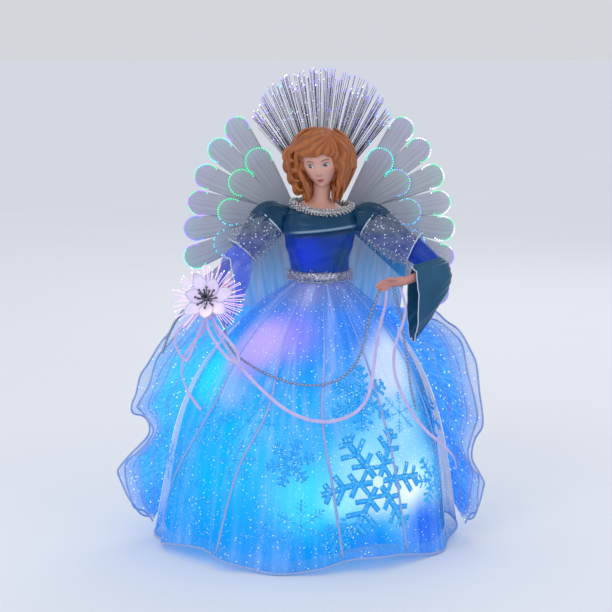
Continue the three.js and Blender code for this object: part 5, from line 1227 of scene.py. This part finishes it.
# Halo: a comb of clear fibres behind the head, many of them lit at their cut ends
print("halo")
halo = {
    "centre": (2, 26, 292), "combRadius": 27, "comb": 0.756, "spread": 0.72, "reach": 113.2, "bow": 0.008,
    "bundles": 12, "perBundle": 17, "fibreRadius": 0.2, "dotRadius": 0.6,
}
lightTints = {
    "violet": "#9a6cff", "blue": "#4f74ff", "green": "#27e08c", "cyan": "#52dcff", "pink": "#ff6ad0",
    "white": "#e8ecff", "grey": "#5c6070",
}
haloTints = [
    ["pink", "violet", "pink"], ["pink", "violet", "blue"], ["violet", "blue", "pink"],
    ["violet", "violet", "white"], ["white", "violet", "blue"], ["white", "cyan", "violet"],
    ["white", "white", "violet"], ["violet", "white", "blue"], ["blue", "violet", "violet"],
    ["violet", "blue", "white"], ["blue", "blue", "violet"], ["violet", "blue", "cyan"],
]


def haloPlace(angle, reach, y):
    x, _, z = halo["centre"]
    return Vector((x + reach * math.sin(angle), y, z + reach * math.cos(angle)))


random.seed(12)
fibres, dots, dotTints = [], [], []
for bundle in range(halo["bundles"]):
    for k in range(halo["perBundle"]):
        inBundle = (k + 0.5) / halo["perBundle"]
        rootAngle = halo["spread"] * (2 * (bundle + inBundle) / halo["bundles"] - 1)
        tipAngle = halo["spread"] * (2 * (bundle + 0.08 + inBundle * 0.84) / halo["bundles"] - 1)
        tipAngle += random.gauss(0, 0.008)
        reach = halo["reach"] - 22 * abs(tipAngle / halo["spread"]) ** 2.5 - 17 * random.random() ** 1.7
        y = halo["centre"][1] + random.uniform(-1.9, 1.9)
        bow = halo["bow"] * math.sin(fullTurn * inBundle)
        line = []
        for s in (0, 0.25, 0.5, 0.75, 1):
            angle = mix(rootAngle, tipAngle, s**1.2) + bow * math.sin(math.pi * s)
            line.append(haloPlace(angle, mix(halo["combRadius"], reach, s), mix(halo["centre"][1], y, s)))
        fibres.append([(point, halo["fibreRadius"]) for point in line])
        tints = haloTints[bundle]
        isLit = random.random() < 0.72
        tint = random.choice(tints) if isLit else "grey"
        size = halo["dotRadius"] * random.uniform(0.7, 1.1)
        dots.append(bead(line[-1], size, (line[-1] - line[-2]).normalized()))
        dotTints.append(hexColour(lightTints[tint]))
        for _ in range(random.choice((1, 2, 2, 3))):  # nicks along a fibre let a little light out
            s = random.uniform(0.35, 0.97)
            spot = line[3].lerp(line[4], (s - 0.75) / 0.25) if s > 0.75 else line[2].lerp(line[3], s)
            dots.append(bead(spot, halo["dotRadius"] * random.uniform(0.35, 0.7)))
            dotTints.append(hexColour(lightTints[random.choice(tints)]))

# Clear acrylic fibre: grey-violet in the mass, dim light along its length
clearFibre, tree, shader = newMaterial("acrylicFibre", Roughness=0.6, Specular_IOR_Level=0.15)
share = around(tree, halo["centre"], 30, 110, "LINEAR")
fibreRamp = [(0, "#2a2836"), (0.6, "#403a58"), (1, "#5d4f92")]
tone = addNode(tree, "ValToRGB", {0: share}, ramp=fibreRamp).outputs[0]
dressShader(tree, shader, tone, tone, 0.3)

# Cut fibre ends, where the light comes out
litEnds, tree, shader = newMaterial("litFibreEnds", Roughness=0.4)
tint = addNode(tree, "Attribute", attribute_name="tint").outputs["Color"]
dressShader(tree, shader, tint, tint, 1.6)

combAngles = [halo["comb"] * (2 * k / 40 - 1) for k in range(41)]
comb = [(haloPlace(angle, halo["combRadius"], halo["centre"][1]), 2.1) for angle in combAngles]
finishMesh("haloFibres", strandMesh("haloFibres", [comb, *fibres], 1), clearFibre, "body",
           ["halo_fibres"])
finishMesh("haloLights", strandMesh("haloLights", dots, 1, dotTints), litEnds, "body")

# Wings: frosted paddles with fibre ends set round their edges
print("wings")
wing = {
    "root": (20, 277), "rootReach": 6, "rootHalf": 3.2, "thick": 0.42, "step": 0.55, "dotPitch": 2.1,
    "dotRadius": 0.62,
    "outer": {"y": 33.0, "tip": 10.6, "reach": 92, "degrees": [34, 49, 66, 82, 97, 112, 129],
              "shares": [0.99, 0.95, 0.925, 0.92, 0.96, 1.03, 1.17]},
    "inner": {"y": 30.4, "tip": 11.6, "reach": 58, "degrees": [34, 58, 86, 111],
              "shares": [1, 0.96, 0.98, 1.12]},
    "tints": {
        ("right", "outer"): [["cyan", "white"], ["cyan", "blue"], ["violet", "blue"], ["violet", "green"],
                             ["cyan", "green"], ["green", "violet"], ["violet", "blue"]],
        ("right", "inner"): [["cyan", "green"], ["green", "green"], ["green", "green"], ["cyan", "grey"]],
        ("left", "outer"): [["violet", "white"], ["violet", "blue"], ["green", "white"], ["white", "green"],
                            ["green", "white"], ["white", "green"], ["green", "white"]],
        ("left", "inner"): [["violet", "violet"], ["green", "cyan"], ["green", "violet"], ["cyan", "blue"]],
    },
}

# Frosted polypropylene film: milky grey, with faint lines where the fibres run lengthwise
frostedFilm, tree, shader = newMaterial("frostedFilm", Roughness=0.38)
lines = addNode(tree, "MapRange", {0: clothLines(tree, (26, 0.6, 1), 2.0), 1: 0.4, 2: 0.66}).outputs[0]
# The film glows faintly in the colours of its fibre ends, most near the rim: painted light from them
tint = addNode(tree, "Attribute", attribute_name="tint").outputs["Color"]
dressShader(tree, shader, mixColours(tree, lines, "#adb0bd", "#c0c2cf"), tint, 0.25, 0.78)


def petalPlace(side, row, k, along, across, lift):
    angle = math.radians(row["degrees"][k])
    forward = Vector((side * math.sin(angle), 0, math.cos(angle)))
    sideways = Vector((side * math.cos(angle), 0, -math.sin(angle)))
    level = row["y"] + wing["step"] * (k % 3 - 0.5)
    root = Vector((side * wing["root"][0], level - lift, wing["root"][1]))
    return root + forward * along + sideways * across


def petalHalf(row, k, along):
    length = row["reach"] * row["shares"][k]
    if along > length:
        return math.sqrt(max(0.0, row["tip"] ** 2 - (along - length) ** 2))
    share = (along - wing["rootReach"]) / (length - wing["rootReach"])
    return mix(wing["rootHalf"], row["tip"], share**0.85)


for name, side in (("left", 1), ("right", -1)):
    dots, dotTints = [], []
    for rowName in ("outer", "inner"):
        row = wing[rowName]
        bm = bmesh.new()
        glow = bm.verts.layers.float_color.new("tint")
        for k, lengthShare in enumerate(row["shares"]):
            length = row["reach"] * lengthShare
            end = length + row["tip"]
            tints = [hexColour(lightTints[tint]) for tint in wing["tints"][(name, rowName)][k]]

            def place(u, v):
                along = end - (end - wing["rootReach"]) * (1 - v) ** 1.5
                half = petalHalf(row, k, min(along, end - 0.02))
                dish = 0.3 * math.sin(math.pi * v) * (1 - (2 * u - 1) ** 2)
                return petalPlace(side, row, k, along, (2 * u - 1) * half, dish)

            before = set(bm.verts)
            addGrid(bm, 10, 46, place)
            # Painted light: the glow colour is strongest near the rim, where the lit fibre ends sit
            for vert in set(bm.verts) - before:
                reach = (vert.co - petalPlace(side, row, k, 0, 0, 0)).length / end
                share = 0.3 * ease(reach, 0.8, 1.0) + 0.04
                vert[glow] = tuple(c * share for c in tints[0][:3]) + (1.0,)
            arc = math.radians(118)
            count = round(2 * arc * row["tip"] / wing["dotPitch"])
            for j in range(count + 1):
                turn = arc * (2 * j / count - 1)
                along, across = length + row["tip"] * math.cos(turn), row["tip"] * math.sin(turn)
                rim = petalPlace(side, row, k, along, across, 0.5)
                dots.append(bead(rim, wing["dotRadius"], Vector((0, 1, 0))))
                dotTints.append(tints[(j // 3) % 2] if rowName == "outer" else tints[j % 2])
        bmesh.ops.solidify(bm, geom=bm.faces, thickness=wing["thick"])
        finishPiece(f"{name}{rowName.title()}Petals", bm, frostedFilm, name + "_wing",
                    [f"{name}_{rowName}_petals"], isClosed=True)
    finishMesh(name + "WingLights", strandMesh(name + "WingLights", dots, 1, dotTints), litEnds,
               name + "_wing")

# Flower: organza petals, dark silver stamens and a spray of lit fibres
print("flower")
flower = {
    "centre": (-92, -62, 219), "tiltX": math.pi / 2 - 0.42, "tiltZ": -0.17, "petals": 7, "rays": 64,
    "stamens": 24, "petalLength": 24, "petalHalf": 6.5,
    "petalOutline": [(0.12, 0.22), (0.45, 0.85), (0.74, 0.76), (0.93, 0.34), (1.0, 0.05)],  # along, across
}
flowerFrame = (Matrix.Translation(flower["centre"]) @ Matrix.Rotation(flower["tiltZ"], 4, "Z")
               @ Matrix.Rotation(flower["tiltX"], 4, "X"))


def flowerPlace(angle, reach, rise):
    return flowerFrame @ Vector((reach * math.cos(angle), reach * math.sin(angle), rise))


# Stiffened white organza, cut with wired edges, lit pink and white from the middle
petalOrganza, tree, shader = newMaterial("petalOrganza", Roughness=0.45, Sheen_Weight=0.3)
share = around(tree, flower["centre"], 3, 24, "LINEAR")
petalRamp = [(0, "#f3d4f6"), (0.4, "#dcc8f0"), (1, "#c3bfd8")]
tone = addNode(tree, "ValToRGB", {0: share}, ramp=petalRamp).outputs[0]
tone = mixColours(tree, around(tree, (-90, -66, 209), 17, 5), tone, "#ffe9ff")
dressShader(tree, shader, mixColours(tree, grain(tree, 2.4), tone, "#e6e2f2"), tone, 0.3, 0.85)

bm = bmesh.new()
rims = bmesh.new()
for k in range(flower["petals"]):
    angle = fullTurn * (k + 0.3) / flower["petals"]
    rise, length = 0.5 + 0.12 * (k % 2), flower["petalLength"] * (1 - 0.12 * (1 - math.cos(3 * k)))

    def petalPoint(u, v):
        alongShare, halfShare = curveAt(flower["petalOutline"], v)
        half, along = flower["petalHalf"] * halfShare * ease(v, -0.1, 0.2), length * alongShare
        across = (2 * u - 1) * max(half, 0.3)
        level = along * rise * 0.62 + 2.4 * abs(2 * u - 1) ** 1.4 * v
        level += 1.1 * math.sin(6 * v + 4 * u + 2 * k) * v
        sideways = flowerPlace(angle + math.pi / 2, across, 0) - flowerPlace(0, 0, 0)
        return flowerPlace(angle, along * 0.93, level) + sideways

    addGrid(bm, 12, 24, petalPoint)
    rim = [petalPoint(0, v / 20) for v in range(21)] + [petalPoint(1, 1 - v / 20) for v in range(1, 21)]
    addSweep(rims, rim, 0.8, sides=5, facing=lambda point: Vector((0, -1, 0.4)))
bmesh.ops.solidify(bm, geom=bm.faces, thickness=0.25)
finishPiece("flowerPetals", bm, petalOrganza, "right_arm", ["flower_petals"])
finishPiece("flowerPetalWires", rims, pipingCord, "right_arm", isClosed=True)

random.seed(21)
rays, tips, tipTints = [], [], []
for k in range(flower["rays"]):
    angle = -math.pi / 2 + 0.55 + (fullTurn - 1.1) * (k + 0.5) / flower["rays"]
    reach = 30 * (1 - 0.18 * (1 - math.sin(5 * k)) * random.random())
    rise = -0.15 * (k % 2) + random.uniform(-0.06, 0.12)
    line = [flowerPlace(angle, reach * s, reach * s * rise + 1.2 * s * (1 - s)) for s in (0.08, 0.4, 0.7, 1)]
    rays.append([(point, 0.3) for point in line])
    tips.append(bead(line[-1], random.uniform(0.35, 0.6), (line[-1] - line[-2]).normalized()))
    tipTints.append(hexColour(lightTints[random.choice(("white", "pink", "white", "violet"))]))
stem = [(flowerPlace(0, 0, -z), 2.0) for z in (0, 4, 8, 12.6)]
core = [(flowerPlace(0, 0, z), r) for z, r in ((-1.2, 1.5), (-0.5, 3.6), (0.6, 4.0), (1.4, 3.4), (2.0, 1.4))]

# Fibres of the spray, lit white and pink along their length
litFibre, tree, shader = newMaterial("litFibre", Roughness=0.4)
dressShader(tree, shader, "#d8b8e4", mixColours(tree, grain(tree, 7), "#b48fe0", "#ffe6fb"), 0.75)
finishMesh("flowerFibres", strandMesh("flowerFibres", [stem, core, *rays], 1), litFibre, "right_arm",
           ["flower_fibres"])
finishMesh("flowerLights", strandMesh("flowerLights", tips, 1, tipTints), litEnds, "right_arm")

# Stamens of wire dipped in dark glitter lacquer
darkStamen, tree, shader = newMaterial("stamenLacquer", Metallic=0.5, Roughness=0.3)
dressShader(tree, shader, mixColours(tree, grain(tree, 1.1, 1), "#26262c", "#8b8f9a"))
strands = []
for k in range(flower["stamens"]):
    angle, lean = fullTurn * k / flower["stamens"], 0.7 + 0.32 * (k % 3)
    a = flowerPlace(angle, 1.0, 2.2)
    b = flowerPlace(angle, 11.4 * math.cos(lean), 2.2 + 8.6 * math.sin(lean))
    strands.append([(a, 0.45), (a.lerp(b, 0.5), 0.42), (b, 0.4)])
    strands.append(bead(b, 1.2, (b - a).normalized()))
    strands.append(bead(a.lerp(b, 0.76), 0.85, (b - a).normalized()))
finishMesh("flowerStamens", strandMesh("flowerStamens", strands, 2), darkStamen, "right_arm",
           ["flower_stamens"])

knot = Vector((-91, -56, 207.2))
knotFolds = [  # places round the middle of the knot in millimetres, then the fold's width and thickness
    ([(-3.5, 0, 2.4), (-2, -3.4, 3.2), (2.4, -3.6, 0.5), (4.6, 0, -1.4)], 4.6, 2.2),
    ([(-4.6, -0.6, -1.2), (-1.6, -3.2, -2.6), (2.5, -2.6, -3.4)], 4.0, 2.0),
    ([(-4, 1.5, 0), (0, 0, 0), (4, 1.5, 0)], 7.0, 6.5),
]
bm = bmesh.new()
for points, width, thickness in knotFolds:
    addSweep(bm, smoothPath([knot + Vector(point) for point in points], 0.5), width, thickness, sides=12)
finishPiece("ribbonKnot", bm, ribbonSatin, "right_arm", ["ribbon_knot"], isClosed=True)

# Plain parts kept as the CAD made them, with their own materials
print("kept parts")


def plainMaterial(name, light, dark, sizeMm, roughness, metallic=0.0, bumpMm=0.05):
    material, tree, shader = newMaterial(name, Roughness=roughness, Metallic=metallic)
    dressShader(tree, shader, mixColours(tree, grain(tree, sizeMm), dark, light))
    addBump(tree, shader, grain(tree, sizeMm / 4), bumpMm, 0.4)
    return material


# Moulded white polypropylene with a fine even grain
whitePlastic = plainMaterial("whitePolypropylene", "#dcdde0", "#cfd0d6", 9, 0.42)
# Grey styrene for the housing
greyPlastic = plainMaterial("greyStyrene", "#8b8f96", "#7c8088", 8, 0.45)
# Black nylon for the switch and the inlet
blackPlastic = plainMaterial("blackNylon", "#26272b", "#191a1d", 5, 0.5)
# Zinc-plated steel with fine streaks
zincSteel = plainMaterial("zincPlatedSteel", "#c2c6cc", "#a4a8b0", 3, 0.3, 0.95, 0.02)
# Green solder resist on the lamp board
boardGreen = plainMaterial("solderResist", "#2c7a4e", "#236340", 2, 0.35, 0.0, 0.03)

# Clear polycarbonate lens, slightly smeared
clearLens, tree, shader = newMaterial("clearLens", Base_Color="#eef4fa", Transmission_Weight=0.9, IOR=1.49)
smears = addNode(tree, "MapRange", {0: grain(tree, 3), 3: 0.06, 4: 0.14}).outputs[0]
tree.links.new(smears, shader.inputs["Roughness"])

# Tinted film in sectors: blue, violet, green and white pass in turn before the fibre ends
tintedFilm, tree, shader = newMaterial("tintedFilm", Roughness=0.2, Transmission_Weight=0.4)
apart = addNode(tree, "VectorMath", {0: objectPlace(tree), 1: (0.009, 0, 0)}, operation="SUBTRACT").outputs[0]
axes = addNode(tree, "SeparateXYZ", {0: apart})
turn = addNode(tree, "Math", {0: axes.outputs[1], 1: axes.outputs[0]}, operation="ARCTAN2").outputs[0]
share = addNode(tree, "MapRange", {0: turn, 1: -math.pi, 2: math.pi}).outputs[0]
sectorRamp = [(0, "#2a55e0"), (0.2, "#8a45e0"), (0.4, "#e04aa8"), (0.6, "#2ec27a"), (0.8, "#dfe4f0")]
sectors = addNode(tree, "ValToRGB", {0: share}, ramp=sectorRamp)
sectors.color_ramp.interpolation = "CONSTANT"
dressShader(tree, shader, sectors.outputs[0])

keptLooks = {
    "base_cone": whitePlastic, "lamp_housing": greyPlastic, "lamp_lid": greyPlastic,
    "lid_screw_1": zincSteel, "lid_screw_2": zincSteel, "led_board": boardGreen, "led_lens": clearLens,
    "gear_motor": zincSteel, "colour_wheel": tintedFilm, "fibre_ferrule": blackPlastic,
    "fibre_trunk": clearFibre, "skirt_lamp_1": clearLens, "skirt_lamp_2": clearLens,
    "skirt_lamp_3": clearLens, "dc_socket": blackPlastic, "switch_body": blackPlastic,
    "switch_knob": blackPlastic, "torso_form": whitePlastic, "wing_bracket": whitePlastic,
    "left_wing_root": whitePlastic, "right_wing_root": whitePlastic, "left_arm": whitePlastic,
    "right_arm": whitePlastic,
}
for name, material in keptLooks.items():
    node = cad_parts[name]
    node.data.materials.clear()
    node.data.materials.append(material)

# Floor and soft studio light
print("stage")
stage = {"floor": "#eceef2", "floorShade": "#e8eaef", "world": "#e4e7ed", "ambient": 1.0, "seen": 0.84,
         "key": 5, "fill": 1.5, "rim": 3}
floorPaint, tree, shader = newMaterial("paleFloor", Roughness=0.8)
dressShader(tree, shader, mixColours(tree, grain(tree, 300), stage["floor"], stage["floorShade"]))
bm = bmesh.new()
bmesh.ops.create_grid(bm, x_segments=1, y_segments=1, size=30000)
floor = finishPiece("floor", bm, floorPaint, isSmooth=False)


def addLight(name, place, aim, size, power):
    data = bpy.data.lights.new(name, "AREA")
    data.size, data.energy = size, power
    light = bpy.data.objects.new(name, data)
    light.location = place
    light.rotation_euler = (Vector(aim) - Vector(place)).to_track_quat("-Z", "Y").to_euler()
    scene.collection.objects.link(light)


addLight("keyLight", (-0.9, -1.3, 1.3), (0, 0, 0.2), 0.9, stage["key"])
addLight("fillLight", (1.2, -1.1, 0.7), (0, 0, 0.2), 1.1, stage["fill"])
addLight("rimLight", (0.5, 1.3, 1.2), (0, 0, 0.25), 0.9, stage["rim"])

world = bpy.data.worlds.new("paleRoom")
scene.world = world
world.use_nodes = True
tree = world.node_tree
room = tree.nodes["Background"]
room.inputs[0].default_value = hexColour(stage["world"])
seen = addNode(tree, "LightPath").outputs["Is Camera Ray"]
glow = addNode(tree, "MapRange", {0: seen, 3: stage["ambient"], 4: stage["seen"]}).outputs[0]
tree.links.new(glow, room.inputs[1])
